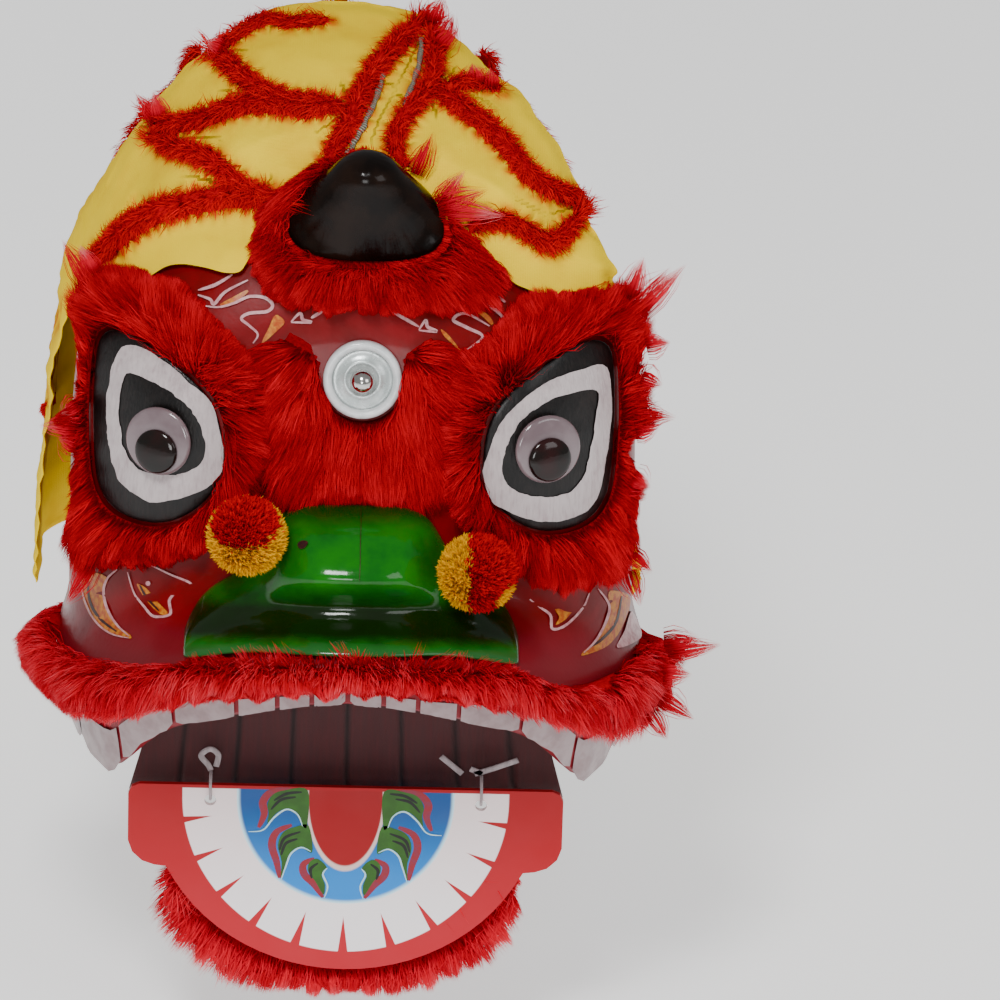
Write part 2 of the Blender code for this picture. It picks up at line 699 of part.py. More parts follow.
def build_nose(plane, material):
    """Build the glossy nose: a bulb between two wings, in relief on the muzzle."""
    stations = sorted({-s[0] for s in NOSE_SECTIONS} | {s[0] for s in NOSE_SECTIONS})
    widths = []
    for low, high in zip(stations, stations[1:]):
        widths.append(low)
        if high - low > 9:
            widths.append((low + high) / 2)
    widths.append(stations[-1])
    keys = [s[0] for s in NOSE_SECTIONS]
    top = []
    base = []
    for x in widths:
        reach = abs(x)
        high = smooth_value(keys, [s[1] for s in NOSE_SECTIONS], reach)
        low = smooth_value(keys, [s[2] for s in NOSE_SECTIONS], reach)
        top_row = []
        base_row = []
        for index, span in enumerate(NOSE_SPANS):
            relief = smooth_value(keys, [s[3][index] for s in NOSE_SECTIONS], reach)
            hit, _ = plane.lay(NOSE_CENTRE_X + x, high + (low - high) * span)
            base_row.append(hit - plane.inward * 1.6)
            top_row.append(hit - plane.inward * (1.6 + relief))
        top.append(top_row)
        base.append(base_row)
    sheet_solid("nose", top, base, False, material)


def build_eyes(plane, plate_finish, disc_finish, pupil_finish, fur_finish):
    """Build both eyes: a painted plate, a googly disc, a pupil, and the fur round them."""
    for side, sign in (("left", 1), ("right", -1)):
        flip = [Vector((sign * x, y)) for x, y in EYE_PLATE]
        centre = (sign * EYE_CENTRE[0], EYE_CENTRE[1])
        count = 30
        plate = polar_outline(flip, centre, count)
        laid_plate(f"eye_plate_{side}", plane, plate, centre, 1.1, 1.6, 3, plate_finish)
        spot = (sign * GOOGLY_CENTRE[0], GOOGLY_CENTRE[1])
        hit, _ = plane.lay(*spot)
        disc_axis = eye_axis(plane, spot)
        turned_solid(f"eye_disc_{side}", hit + disc_axis * 4.6, disc_axis,
                     ((GOOGLY_DIAMETER / 2, 0.0), (GOOGLY_DIAMETER / 2, 1.2), (GOOGLY_DIAMETER / 2 - 1.4, 2.4),
                      (GOOGLY_DIAMETER / 2 - 3.5, 3.0)), 28, disc_finish)
        pupil_spot = (sign * PUPIL_CENTRE[0], PUPIL_CENTRE[1])
        shift = Vector((pupil_spot[0] - spot[0], 0, 0)) + plane.up * (pupil_spot[1] - spot[1])
        shift -= disc_axis * shift.dot(disc_axis)
        turned_solid(f"pupil_{side}", hit + shift + disc_axis * 8.0, disc_axis,
                     ((PUPIL_DIAMETER / 2, 0.0), (PUPIL_DIAMETER / 2, 0.8), (PUPIL_DIAMETER / 2 - 2.0, 2.0),
                      (PUPIL_DIAMETER / 2 - 5.0, 2.9), (PUPIL_DIAMETER / 2 - 8.5, 3.2)), 24, pupil_finish)
        inner = [Vector(centre).lerp(p, 1 + 1.2 / (p - Vector(centre)).length) for p in plate]
        outer_points = [Vector((sign * x, y)) for x, y in EYE_FUR_OUTER]
        outer = polar_outline(outer_points, centre, count)
        fur_band(f"eye_fur_{side}", plane, inner, outer, 5, 11.0, 3.0, fur_finish)


def eye_axis(plane, spot):
    """Return the mean outward direction of the shell round a spot."""
    total = Vector((0, 0, 0))
    for dx in (-12, 0, 12):
        for dv in (-12, 0, 12):
            total += plane.lay(spot[0] + dx, spot[1] + dv)[1]
    return total.normalized()


def build_mirror(plane, ring_finish, plate_finish, ball_finish):
    """Build the forehead mirror: ring, disc and ball."""
    hit, _ = plane.lay(MIRROR_X, MIRROR_RISE)
    axis = eye_axis(plane, (MIRROR_X, MIRROR_RISE))
    outer = MIRROR_DIAMETER / 2
    inner = outer - MIRROR_RING_WIDTH
    base = hit + axis * 2.0
    profile = ((inner, 0.0), (outer, 0.0), (outer, 3.6), (outer - 1.2, 4.8), (inner + 1.0, 4.8), (inner, 3.8))
    side = axis.cross(Vector((1, 0, 0))).normalized()
    across = axis.cross(side)
    count = 26
    sections = []
    for k in range(count):
        bearing = 2 * math.pi * k / count
        ray = side * math.cos(bearing) + across * math.sin(bearing)
        sections.append([base + ray * radius + axis * height for radius, height in profile])
    loft_solid("mirror_ring", sections, ring_finish, closed_path=True)
    turned_solid("mirror_plate", base, axis, ((inner - 0.4, 0.0), (inner - 0.4, 1.6), (inner - 3.0, 2.0)),
                 26, plate_finish)
    ball("mirror_ball", base + axis * (2.4 + MIRROR_BALL_DIAMETER / 2), MIRROR_BALL_DIAMETER / 2, ball_finish)
    return hit, axis


def build_lip(grid_row, centre_y, material):
    """Build the fur roll that runs round the brim."""
    bearings = []
    low = LIP_ROLL[0][0]
    high = LIP_ROLL[-1][0]
    steps = 48
    for k in range(steps + 1):
        bearings.append(low + (high - low) * k / steps)
    keys = [row[0] for row in LIP_ROLL]
    sections = []
    count = 8
    for bearing in bearings:
        half_width = smooth_value(keys, [row[1] for row in LIP_ROLL], bearing)
        half_height = smooth_value(keys, [row[2] for row in LIP_ROLL], bearing)
        edge = ring_point(grid_row, bearing)
        ahead = ring_point(grid_row, bearing + 1.5)
        behind = ring_point(grid_row, bearing - 1.5)
        along = ahead - behind
        outward = Vector((along.y, -along.x, 0)).normalized()
        if outward.dot(Vector((edge.x, edge.y - centre_y, 0))) < 0:
            outward.negate()
        centre = edge + outward * (half_width + 1.2) + Vector((0, 0, -1.5))
        sections.append([centre + outward * half_width * math.cos(2 * math.pi * k / count)
                         + Vector((0, 0, 1)) * half_height * math.sin(2 * math.pi * k / count)
                         for k in range(count)])
    loft_solid("lip_fur", sections, material)


def ring_point(row, bearing):
    """Return the point of a shell row at a bearing."""
    place = (bearing % 360) / 360 * len(row)
    low = int(place) % len(row)
    return row[low].lerp(row[(low + 1) % len(row)], place - int(place))


def build_pompoms(plane, post_finish, ball_finish):
    """Build the yarn pompoms and the posts that carry them."""
    radius = POMPOM_DIAMETER / 2
    for side, x, y, z in POMPOMS:
        centre = Vector((x, y, z))
        ball(f"pompom_{side}", centre, radius, ball_finish, 9, 18)
        root = Vector((x * 0.98, -121.5, z - 14.0))
        line = (centre - root).normalized()
        tube(f"pompom_post_{side}", [root, centre - line * (radius + 0.5)], POST_DIAMETER / 2, 12, post_finish)


def jaw_outline():
    """Return the closed outline of the jaw board as x and z."""
    right = [Vector(p) for p in JAW_LOBE]
    start = math.atan2(right[-1].x, JAW_ARC_CENTRE_Z - right[-1].y)
    arc = []
    steps = 26
    for k in range(1, steps):
        bearing = start - 2 * start * k / steps
        arc.append(Vector((JAW_ARC_RADIUS * math.sin(bearing), JAW_ARC_CENTRE_Z - JAW_ARC_RADIUS * math.cos(bearing))))
    left = [Vector((-p.x, p.y)) for p in reversed(right)]
    return right + arc + left


def build_jaw(pivot, board_finish, fur_finish, tie_finish):
    """Build the swinging jaw: board, beard and the two tie loops."""
    outline = jaw_outline()
    half = JAW_BOARD_THICKNESS / 2
    front = [Vector((p.x, JAW_BOARD_Y - half, p.y)) for p in outline]
    back = [Vector((p.x, JAW_BOARD_Y + half, p.y)) for p in outline]
    board = loft_solid("jaw_board", [front, back], board_finish, smooth=False)
    for side, sign in (("left", -1), ("right", 1)):
        cutter = turned_solid(f"hole_cutter_{side}", Vector((sign * JAW_HOLE_X, JAW_BOARD_Y - 5, JAW_HOLE_Z)),
                              Vector((0, 1, 0)), ((JAW_HOLE_DIAMETER / 2, 0.0), (JAW_HOLE_DIAMETER / 2, 10.0)), 20,
                              board_finish)
        cutter.hide_render = True
        cutter.display_type = "WIRE"
        hole = board.modifiers.new(f"hole_{side}", "BOOLEAN")
        hole.operation = "DIFFERENCE"
        hole.solver = "EXACT"
        hole.object = cutter
    keys = [row[0] for row in BEARD_SECTIONS]
    sections = []
    count = 8
    for step in range(25):
        bearing = keys[0] + (keys[-1] - keys[0]) * step / 24
        inner = smooth_value(keys, [row[1] for row in BEARD_SECTIONS], bearing)
        outer = smooth_value(keys, [row[2] for row in BEARD_SECTIONS], bearing)
        turn = math.radians(bearing)
        ray = Vector((math.sin(turn), 0, -math.cos(turn)))
        ends = min(1.0, 0.55 + 0.12 * min(step, 24 - step))
        middle = Vector((0, JAW_BOARD_Y + half + 0.6 + BEARD_THICKNESS * ends / 2, JAW_ARC_CENTRE_Z))
        row = []
        for k in range(count):
            spin = 2 * math.pi * (k + 0.5) / count
            reach = (inner + outer) / 2 + (outer - inner) / 2 * math.cos(spin)
            row.append(middle + ray * reach + Vector((0, BEARD_THICKNESS * ends / 2 * math.sin(spin), 0)))
        sections.append(row)
    beard = loft_solid("beard_fur", sections, fur_finish)
    moving = [board, beard]
    for side, sign in (("left", -1), ("right", 1)):
        path = []
        for k in range(16):
            spin = 2 * math.pi * k / 16
            path.append(Vector((sign * JAW_HOLE_X, HINGE_Y + TIE_LOOP_RADIUS * math.cos(spin),
                                HINGE_Z + TIE_LOOP_RADIUS * math.sin(spin))))
        moving.append(tube(f"tie_loop_{side}", path, TIE_DIAMETER / 2, 6, tie_finish, closed_path=True))
    for item in moving:
        item.parent = pivot
        item.matrix_parent_inverse = pivot.matrix_world.inverted()


def build_knots(finish_material):
    """Build the tied ends that hang in front of the lining above each hole."""
    for side, sign in (("left", -1), ("right", 1)):
        x = sign * JAW_HOLE_X
        tails = rounded_path(((x - 9.0, -116.5, -229.0), (x - 4.5, -118.0, -236.0), (x, -119.0, -240.6),
                              (x + 4.5, -118.0, -236.0), (x + 9.0, -116.5, -229.0)), 2, False)
        tube(f"tie_knot_{side}", tails, TIE_DIAMETER * 0.6, 6, finish_material)


def main():
    """Build every piece."""
    clear_scene()
    shell_red = finish("shell_gloss_red", (0.33, 0.015, 0.02), 0.18)
    cloth_yellow = finish("hood_yellow_cloth", (0.86, 0.58, 0.02), 0.85)
    fur_red = finish("red_fur", (0.62, 0.012, 0.02), 0.8)
    lining_red = finish("lining_maroon_cloth", (0.13, 0.02, 0.02), 0.8)
    horn_black = finish("horn_gloss_black", (0.012, 0.008, 0.008), 0.08)
    nose_green = finish("nose_gloss_green", (0.01, 0.2, 0.01), 0.1)
    plate_black = finish("eye_plate_black", (0.012, 0.01, 0.01), 0.22)
    disc_grey = finish("eye_disc_grey", (0.42, 0.38, 0.4), 0.25)
    pupil_black = finish("pupil_black", (0.02, 0.008, 0.008), 0.08)
    ring_white = finish("mirror_ring_enamel", (0.72, 0.74, 0.74), 0.25)
    mirror_grey = finish("mirror_plate", (0.6, 0.64, 0.64), 0.18, 0.6)
    ball_chrome = finish("mirror_ball_chrome", (0.7, 0.68, 0.66), 0.1, 1.0)
    yarn = finish("pompom_yarn", (0.7, 0.12, 0.01), 0.9)
    post_steel = finish("post_steel", (0.5, 0.5, 0.5), 0.35, 1.0)
    board_print = finish("jaw_board_print", (0.72, 0.04, 0.05), 0.35)
    tie_white = finish("tie_white", (0.85, 0.85, 0.85), 0.7)
    braid_grey = finish("braid_grey", (0.45, 0.45, 0.4), 0.6)

    grid = build_shell(shell_red)
    tree = grid_tree(grid)
    plane = LeaningPlane(tree, LAY_TILT_DEG)
    build_lining(lining_red)

    hood = Hood(tree)
    hood.build(cloth_yellow)
    for name, width, height, places in HOOD_STRIPS:
        path = rounded_path([(b, h, 0) for b, h in places], 3, False)
        points = [hood.surface_point(p.x, p.y) for p in path]
        centre = Vector((HOOD_CENTRE_X, HOOD_CENTRE_Y, -90))
        normals = []
        for p in path:
            side = hood.surface_point(p.x + 3, p.y) - hood.surface_point(p.x - 3, p.y)
            fall = hood.surface_point(p.x, p.y - 3) - hood.surface_point(p.x, p.y + 3)
            normal = side.cross(fall).normalized()
            if normal.dot(hood.surface_point(p.x, p.y) - centre) < 0:
                normal.negate()
            normals.append(normal)
        finish_used = braid_grey if name.startswith("braid") else fur_red
        strip_solid(name, points, normals, width, height, finish_used)

    ruff_centre = (HORN_CENTRE_X, -24)
    horn_edge = polar_outline([Vector(p) for p in HORN_BASE], ruff_centre, 28)
    build_horn(plane, horn_edge, ruff_centre, horn_black)
    horn_edge = [Vector(ruff_centre).lerp(p, 1 + 3.0 / (p - Vector(ruff_centre)).length) for p in horn_edge]
    ruff_edge = polar_outline([Vector(p) for p in RUFF_OUTER], ruff_centre, 28)
    fur_band("horn_ruff", plane, horn_edge, ruff_edge, 3, 9.0, 3.0, fur_red)

    mirror_centre = (MIRROR_X, MIRROR_RISE)
    mirror_edge = [Vector(mirror_centre) + Vector((math.cos(2 * math.pi * k / 28), math.sin(2 * math.pi * k / 28)))
                   * (MIRROR_DIAMETER / 2 + 1.2) for k in range(28)]
    forehead_edge = polar_outline([Vector(p) for p in FOREHEAD_OUTER], mirror_centre, 28)
    fur_band("forehead_fur", plane, mirror_edge, forehead_edge, 4, 9.0, 3.0, fur_red)

    build_eyes(plane, plate_black, disc_grey, pupil_black, fur_red)
    build_mirror(plane, ring_white, mirror_grey, ball_chrome)
    build_nose(plane, nose_green)
    brim_row = grid[sum(SHELL_STEPS[s[0]] for s in SHELL_SECTIONS[:11])]
    build_lip(brim_row, 0.0, fur_red)
    build_pompoms(plane, post_steel, yarn)

    pivot = bpy.data.objects.new("jaw_pivot", None)
    pivot.location = (Vector((0, HINGE_Y, HINGE_Z)) - SEAT) * MM
    bpy.context.scene.collection.objects.link(pivot)
    bpy.context.view_layer.update()
    build_jaw(pivot, board_print, fur_red, tie_white)
    build_knots(tie_white)


main()
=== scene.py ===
"""Looks of a child's lion dance head: paint, print, cloth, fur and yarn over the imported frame.

Sizes are in millimetres in the maker's own frame, which SEAT moves to the model's frame.
Outlines on the face are drawn on a plane that leans back, as x across and rise up it.
"""

import logging
import math
from dataclasses import dataclass, field
from enum import Enum
from typing import Callable, Sequence

import bmesh
import bpy
import numpy as np
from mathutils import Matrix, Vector, noise
from mathutils.bvhtree import BVHTree
from mathutils.geometry import delaunay_2d_cdt
from mathutils.kdtree import KDTree


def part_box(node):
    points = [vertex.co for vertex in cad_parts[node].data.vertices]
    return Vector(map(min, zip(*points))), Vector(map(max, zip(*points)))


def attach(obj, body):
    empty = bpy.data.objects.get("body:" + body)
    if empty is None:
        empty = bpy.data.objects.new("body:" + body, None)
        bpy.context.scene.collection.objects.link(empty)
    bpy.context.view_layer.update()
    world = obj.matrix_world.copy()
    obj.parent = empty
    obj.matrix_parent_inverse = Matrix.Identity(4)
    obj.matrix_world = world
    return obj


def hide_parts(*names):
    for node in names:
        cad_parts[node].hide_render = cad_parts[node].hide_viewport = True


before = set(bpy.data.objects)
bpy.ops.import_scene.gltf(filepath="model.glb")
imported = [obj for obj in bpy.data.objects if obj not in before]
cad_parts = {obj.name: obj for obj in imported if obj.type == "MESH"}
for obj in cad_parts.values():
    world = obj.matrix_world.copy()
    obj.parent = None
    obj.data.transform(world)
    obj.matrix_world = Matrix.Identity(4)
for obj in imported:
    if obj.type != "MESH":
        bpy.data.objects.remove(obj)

MM = 0.001
SEAT = Vector((0.0, 25.0, 35.8))
TILT = math.radians(27.0)
UP = Vector((0.0, math.sin(TILT), math.cos(TILT)))
INWARD = Vector((0.0, math.cos(TILT), -math.sin(TILT)))

Colour = tuple[float, float, float]
Outline = Sequence[tuple[float, float]]
Comb = Callable[[np.ndarray, np.ndarray], np.ndarray]

log = logging.getLogger("lion_head")


class Body(Enum):
    """The two rigid bodies that pieces ride on."""

    HEAD = "head"
    JAW = "jaw"


# Shader maths


class Shade:
    """One output of a shader node, used in written maths."""

    def __init__(self, net: "ShaderNet", socket: bpy.types.NodeSocket) -> None:
        """Keep the socket and the net it belongs to."""
        self.net = net
        self.socket = socket

    def _maths(self, operation: str, *values: "Shade | float") -> "Shade":
        """Add a Math node over values."""
        return self.net.node("ShaderNodeMath", {"operation": operation}, dict(enumerate(values)))

    def __add__(self, other: "Shade | float") -> "Shade":
        """Return self + other."""
        return self._maths("ADD", self, other)

    __radd__ = __add__

    def __sub__(self, other: "Shade | float") -> "Shade":
        """Return self - other."""
        return self._maths("SUBTRACT", self, other)

    def __rsub__(self, other: float) -> "Shade":
        """Return other - self."""
        return self._maths("SUBTRACT", other, self)

    def __mul__(self, other: "Shade | float") -> "Shade":
        """Return self * other."""
        return self._maths("MULTIPLY", self, other)

    __rmul__ = __mul__

    def __truediv__(self, other: "Shade | float") -> "Shade":
        """Return self / other."""
        return self._maths("DIVIDE", self, other)

    def __pow__(self, other: float) -> "Shade":
        """Return self to a power."""
        return self._maths("POWER", self, other)

    def sine(self) -> "Shade":
        """Return the sine of self in radians."""
        return self._maths("SINE", self)

    def size(self) -> "Shade":
        """Return self without its sign."""
        return self._maths("ABSOLUTE", self)

    def least(self, other: "Shade | float") -> "Shade":
        """Return the smaller of self and other."""
        return self._maths("MINIMUM", self, other)

    def bearing(self, other: "Shade") -> "Shade":
        """Return the angle whose tangent is self over other."""
        return self._maths("ARCTAN2", self, other)

    def folded(self, step: float) -> "Shade":
        """Return how far self is from the nearest whole multiple of step."""
        return self - self._maths("SNAP", self + step / 2, step)

    def ramp(self, low: float, high: float) -> "Shade":
        """Return 0 at low and 1 at high, with a soft start and end.

        Args:
            low: The value that gives 0.
            high: The value that gives 1. It may be the smaller one.

        Returns:
            The mask.
        """
        settings = {"interpolation_type": "SMOOTHSTEP"}
        if low > high:
            return 1 - self.net.node("ShaderNodeMapRange", settings, {"Value": self, "From Min": high,
                                                                      "From Max": low})
        return self.net.node("ShaderNodeMapRange", settings, {"Value": self, "From Min": low, "From Max": high})


class ShaderNet:
    """The node tree of one material."""

    def __init__(self, name: str) -> None:
        """Make a material with one Principled shader.

        Args:
            name: The material's name.
        """
        self.material = bpy.data.materials.new(name)
        self.material.use_nodes = True
        self.tree = self.material.node_tree
        self.shader = self.tree.nodes["Principled BSDF"]
        self.shader.distribution = "GGX"

    def join(self, socket: bpy.types.NodeSocket, value: object) -> None:
        """Link a Shade to a socket, or set a plain value on it.

        Args:
            socket: The input socket.
            value: A Shade, a number, a vector or a colour.
        """
        if isinstance(value, Shade):
            self.tree.links.new(value.socket, socket)
        elif isinstance(value, tuple) and socket.type == "RGBA":
            socket.default_value = (*value[:3], 1.0)
        else:
            socket.default_value = value

    def node(self, kind: str, settings: dict | None = None, inputs: dict | None = None,
             output: str | int = 0) -> Shade:
        """Add a node.

        Args:
            kind: The node's type.
            settings: What is set on the node before its sockets.
            inputs: Values or Shades by the name or index of a socket.
            output: The name or index of the output that is wanted.

        Returns:
            The output, wrapped.
        """
        made = self.tree.nodes.new(kind)
        for key, value in (settings or {}).items():
            setattr(made, key, value)
        for key, value in (inputs or {}).items():
            self.join(made.inputs[key], value)
        return Shade(self, made.outputs[output])

    def place(self) -> Shade:
        """Return the place on the piece as it was made, in millimetres of the model's frame."""
        where = self.node("ShaderNodeTexCoord", output="Object")
        return self.node("ShaderNodeVectorMath", {"operation": "SCALE"}, {0: where, "Scale": 1 / MM})

    def axes(self, where: Shade) -> tuple[Shade, Shade, Shade]:
        """Return x, y and z of a place in the maker's own frame."""
        parts = [self.node("ShaderNodeSeparateXYZ", inputs={0: where}, output=k) for k in range(3)]
        return parts[0] + SEAT.x, parts[1] + SEAT.y, parts[2] + SEAT.z

    def rise(self, where: Shade) -> Shade:
        """Return the rise on the leaning plane of a place."""
        _, y, z = self.axes(where)
        return y * UP.y + z * UP.z

    def attribute(self, name: str) -> Shade:
        """Return a number that the mesh carries."""
        return self.node("ShaderNodeAttribute", {"attribute_name": name}, output="Fac")

    def grain(self, where: Shade, pitch: float, detail: float = 3.0, rough: float = 0.55) -> Shade:
        """Return noise from 0 to 1 with features about pitch millimetres apart."""
        return self.node("ShaderNodeTexNoise", {}, {"Vector": where, "Scale": 1 / pitch, "Detail": detail,
                                                    "Roughness": rough})

    def stretched(self, where: Shade, along: tuple[float, float, float]) -> Shade:
        """Return a place scaled by a factor along each axis."""
        return self.node("ShaderNodeVectorMath", {"operation": "MULTIPLY"}, {0: where, 1: along})

    def mix(self, share: Shade, low: Shade | Colour, high: Shade | Colour) -> Shade:
        """Mix two colours by a share from 0 to 1."""
        return self.node("ShaderNodeMix", {"data_type": "RGBA"}, {0: share, 6: low, 7: high}, output=2)

    def bump(self, height: Shade, depth_mm: float, strength: float = 1.0) -> Shade:
        """Return a normal that is bent by a height from 0 to 1."""
        return self.node("ShaderNodeBump", {}, {"Height": height, "Distance": depth_mm * MM, "Strength": strength},
                         output="Normal")

    def dress(self, **sockets: object) -> None:
        """Set the shader's sockets by their names, with spaces written as underscores."""
        for name, value in sockets.items():
            self.join(self.shader.inputs[name.replace("_", " ")], value)


# Finishes


@dataclass(frozen=True)
class Finish:
    """A finish that is made once and used by name."""

    name: str

    def make(self) -> bpy.types.Material:
        """Return the material, made at its first use.

        Returns:
            The material.
        """
        found = bpy.data.materials.get(self.name + "_look")
        if found is not None:
            return found
        net = ShaderNet(self.name + "_look")
        self.paint(net)
        return net.material

    def paint(self, net: ShaderNet) -> None:
        """Write the finish into a net. Each kind of finish has its own."""
        raise NotImplementedError


@dataclass(frozen=True)
class Lacquer(Finish):
    """Sprayed or brushed gloss paint with soft patches, fine dust and orange peel."""

    base: Colour = (0.5, 0.5, 0.5)
    patch: Colour = (0.4, 0.4, 0.4)
    patch_mm: float = 18.0
    gloss: float = 0.2
    wear: float = 0.12
    coat: float = 0.6
    peel_mm: float = 0.05
    metallic: float = 0.0
    shine: float = 0.28

    def tint(self, net: ShaderNet, where: Shade) -> Shade:
        """Return the paint's colour over the surface."""
        return net.mix(net.grain(where, self.patch_mm).ramp(0.35, 0.68), self.base, self.patch)

    def paint(self, net: ShaderNet) -> None:
        """Write gloss paint: patches, scuffs and orange peel.

        Args:
            net: The net to write in.
        """
        where = net.place()
        scuff = net.grain(where, 5.0, 3.0, 0.7).ramp(0.5, 0.75)
        peel = net.grain(where, 2.4, 1.0)
        net.dress(Base_Color=self.tint(net, where), Roughness=scuff * self.wear + self.gloss,
                  Metallic=self.metallic, Coat_Weight=self.coat, Coat_Roughness=0.06,
                  Specular_IOR_Level=self.shine,
                  Normal=net.bump(peel, self.peel_mm))


@dataclass(frozen=True)
class ShellLacquer(Lacquer):
    """The moulded shell's dark red gloss, bare beige at its side edges and lighter pink on the brim's top as a
    painted sheen.
    """

    bare: Colour = (0.40, 0.24, 0.13)
    shelf_sheen: Colour = (0.21, 0.010, 0.018)

    def tint(self, net: ShaderNet, where: Shade) -> Shade:
        """Return dark red with the brim top's painted pink sheen and the bare edges.

        Args:
            net: The net to write in.
            where: The object's own coordinates.

        Returns:
            The colour.
        """
        x, _, z = net.axes(where)
        red = Lacquer.tint(self, net, where)
        ragged = x.size() + net.grain(where, 10.0) * 10.0
        sides = ragged.ramp(133.0, 140.0) * z.ramp(-100.0, -112.0) * z.ramp(-192.0, -176.0)
        # Lighter pink on the brim's top: a painted sheen.
        shelf_sheen = net.rise(where).ramp(-196.0, -214.0)
        return net.mix(sides * 0.9, net.mix(shelf_sheen * 0.8, red, self.shelf_sheen), self.bare)


@dataclass(frozen=True)
class NoseLacquer(Lacquer):
    """Bright green gloss, darkened to brown black in the hollow between the bulb and the rim by airbrushed paint with
    painted shade over it.
    """

    hollow: Colour = (0.004, 0.006, 0.001)
    rim: Colour = (0.02, 0.13, 0.025)
    top_edge: Colour = (0.0, 0.03, 0.002)

    def tint(self, net: ShaderNet, where: Shade) -> Shade:
        """Return the green with its hollow darkened by airbrush and painted shade, its rim and dark crown.

        Args:
            net: The net to write in.
            where: The object's own coordinates.

        Returns:
            The colour.
        """
        rise = net.rise(where) + net.grain(where, 12.0) * 4.0
        green = Lacquer.tint(self, net, where)
        # The hollow's dark is partly airbrushed paint and partly painted shade in the recess.
        hollow = rise.ramp(-184.0, -196.0) * rise.ramp(-213.0, -205.0)
        crown = rise.ramp(-160.0, -150.0)
        edge = rise.ramp(-209.0, -214.0)
        green = net.mix(crown * 0.85, green, self.top_edge)
        green = net.mix(hollow * 0.93, green, self.hollow)
        return net.mix(edge * 0.9, green, self.rim)


@dataclass(frozen=True)
class BrushedPaint(Lacquer):
    """Hand brushed paint: fine streaks along one way, thin and dirty at places."""

    streak: tuple[float, float, float] = (0.35, 0.35, 0.06)

    def tint(self, net: ShaderNet, where: Shade) -> Shade:
        """Return the paint with brush streaks.

        Args:
            net: The net to write in.
            where: The object's own coordinates.

        Returns:
            The colour.
        """
        streaks = net.grain(net.stretched(where, self.streak), 0.5, 3.0)
        patches = net.grain(where, self.patch_mm, 3.0).ramp(0.4, 0.75)
        return net.mix(streaks.ramp(0.4, 0.75) * 0.55 + patches * 0.45, self.base, self.patch)

    def paint(self, net: ShaderNet) -> None:
        """Write the brushed paint with ridges left by the bristles.

        Args:
            net: The net to write in.
        """
        where = net.place()
        ridges = net.grain(net.stretched(where, self.streak), 0.35, 2.0)
        net.dress(Base_Color=self.tint(net, where), Roughness=ridges * self.wear + self.gloss,
                  Coat_Weight=self.coat, Coat_Roughness=0.12, Specular_IOR_Level=self.shine,
                  Normal=net.bump(ridges, self.peel_mm))


@dataclass(frozen=True)
class HairFinish(Finish):
    """Imitation fur: dark at the root as painted shade in the depth of the fur, bright along the hair, pale at the
    tip.
    """

    root: Colour = (0.10, 0.0, 0.002)
    middle: Colour = (0.64, 0.0, 0.012)
    tip: Colour = (0.80, 0.022, 0.035)
    shade: Colour = (0.36, 0.0, 0.006)

    def paint(self, net: ShaderNet) -> None:
        """Write the hair's colour from where it is on the hair and its tuft's tone.

        Args:
            net: The net to write in.
        """
        along = net.attribute("along")
        tone = net.attribute("tone")
        # The dark root colour is painted shade in the depth of the fur.
        body = net.mix(along.ramp(0.0, 0.45), self.root, net.mix(tone.ramp(0.1, 0.9), self.shade, self.middle))
        tips = along.ramp(0.55, 1.0) * tone.ramp(0.3, 1.0) * 0.7
        net.dress(Base_Color=net.mix(tips, body, self.tip), Roughness=tone * 0.15 + 0.5,
                  Specular_IOR_Level=0.0)


@dataclass(frozen=True)
class UnderFur(Finish):
    """The dense short under-fur that shows between the hairs, kept dark as painted shade in the depth of the fur."""

    deep: Colour = (0.10, 0.0, 0.001)
    light: Colour = (0.36, 0.0, 0.005)

    def paint(self, net: ShaderNet) -> None:
        """Write matted under-fur: patches of dark and light.

        Args:
            net: The net to write in.
        """
        # Both colours are darker than the hair: a real under-fur layer painted with the shade of the fur's depth.
        mat = net.grain(net.place(), 1.6, 1.0, 0.7)
        net.dress(Base_Color=net.mix(mat, self.deep, self.light), Roughness=mat * 0.1 + 0.8,
                  Specular_IOR_Level=0.0)


@dataclass(frozen=True)
class HoodCloth(Finish):
    """Brushed yellow cloth that is drawn up in gathers beside the sewn strips."""

    bright: Colour = (0.98, 0.69, 0.0)
    deep: Colour = (0.80, 0.44, 0.0)
    # Orange-red painted beside the fur: its reflected red, with painted shade.
    fur_reflection_shade: Colour = (0.66, 0.10, 0.0)

    def paint(self, net: ShaderNet) -> None:
        """Write the cloth: nap, weave, gathers with painted shade in their folds, and the painted red reflection of
        the fur beside it.

        Args:
            net: The net to write in.
        """
        where = net.place()
        near = net.attribute("near")
        run = net.attribute("run")
        nap = net.grain(where, 0.9, 2.0, 0.65)
        clouds = net.grain(where, 26.0, 3.0)
        wander = net.grain(where, 14.0, 1.0) * 9.0
        gathers = ((run * 0.9 + wander).sine() * 0.5 + 0.5) * near.ramp(0.4, 0.9)
        weave = (net.axes(where)[0] * 6.0).sine() * 0.5 + (net.axes(where)[2] * 6.0).sine() * 0.5
        # The gathers darken the colour as painted shade in their folds; the clouds are random tone.
        shade = clouds.ramp(0.4, 0.75) * 0.45 + gathers * 0.35
        colour = net.mix(shade, self.bright, self.deep)
        # Beside the fur the cloth is painted orange-red: the fur's reflected red and painted shade, strongest in the
        # gathers.
        colour = net.mix(near.ramp(0.35, 1.0) * (gathers * 0.9 + 0.2).least(1.0) * 0.85, colour, self.fur_reflection_shade)
        relief = gathers * 1.0 + nap * 0.12 + weave * 0.03
        net.dress(Base_Color=colour, Roughness=nap * 0.1 + 0.82, Normal=net.bump(relief, 1.4, 0.8),
                  Specular_IOR_Level=0.06)


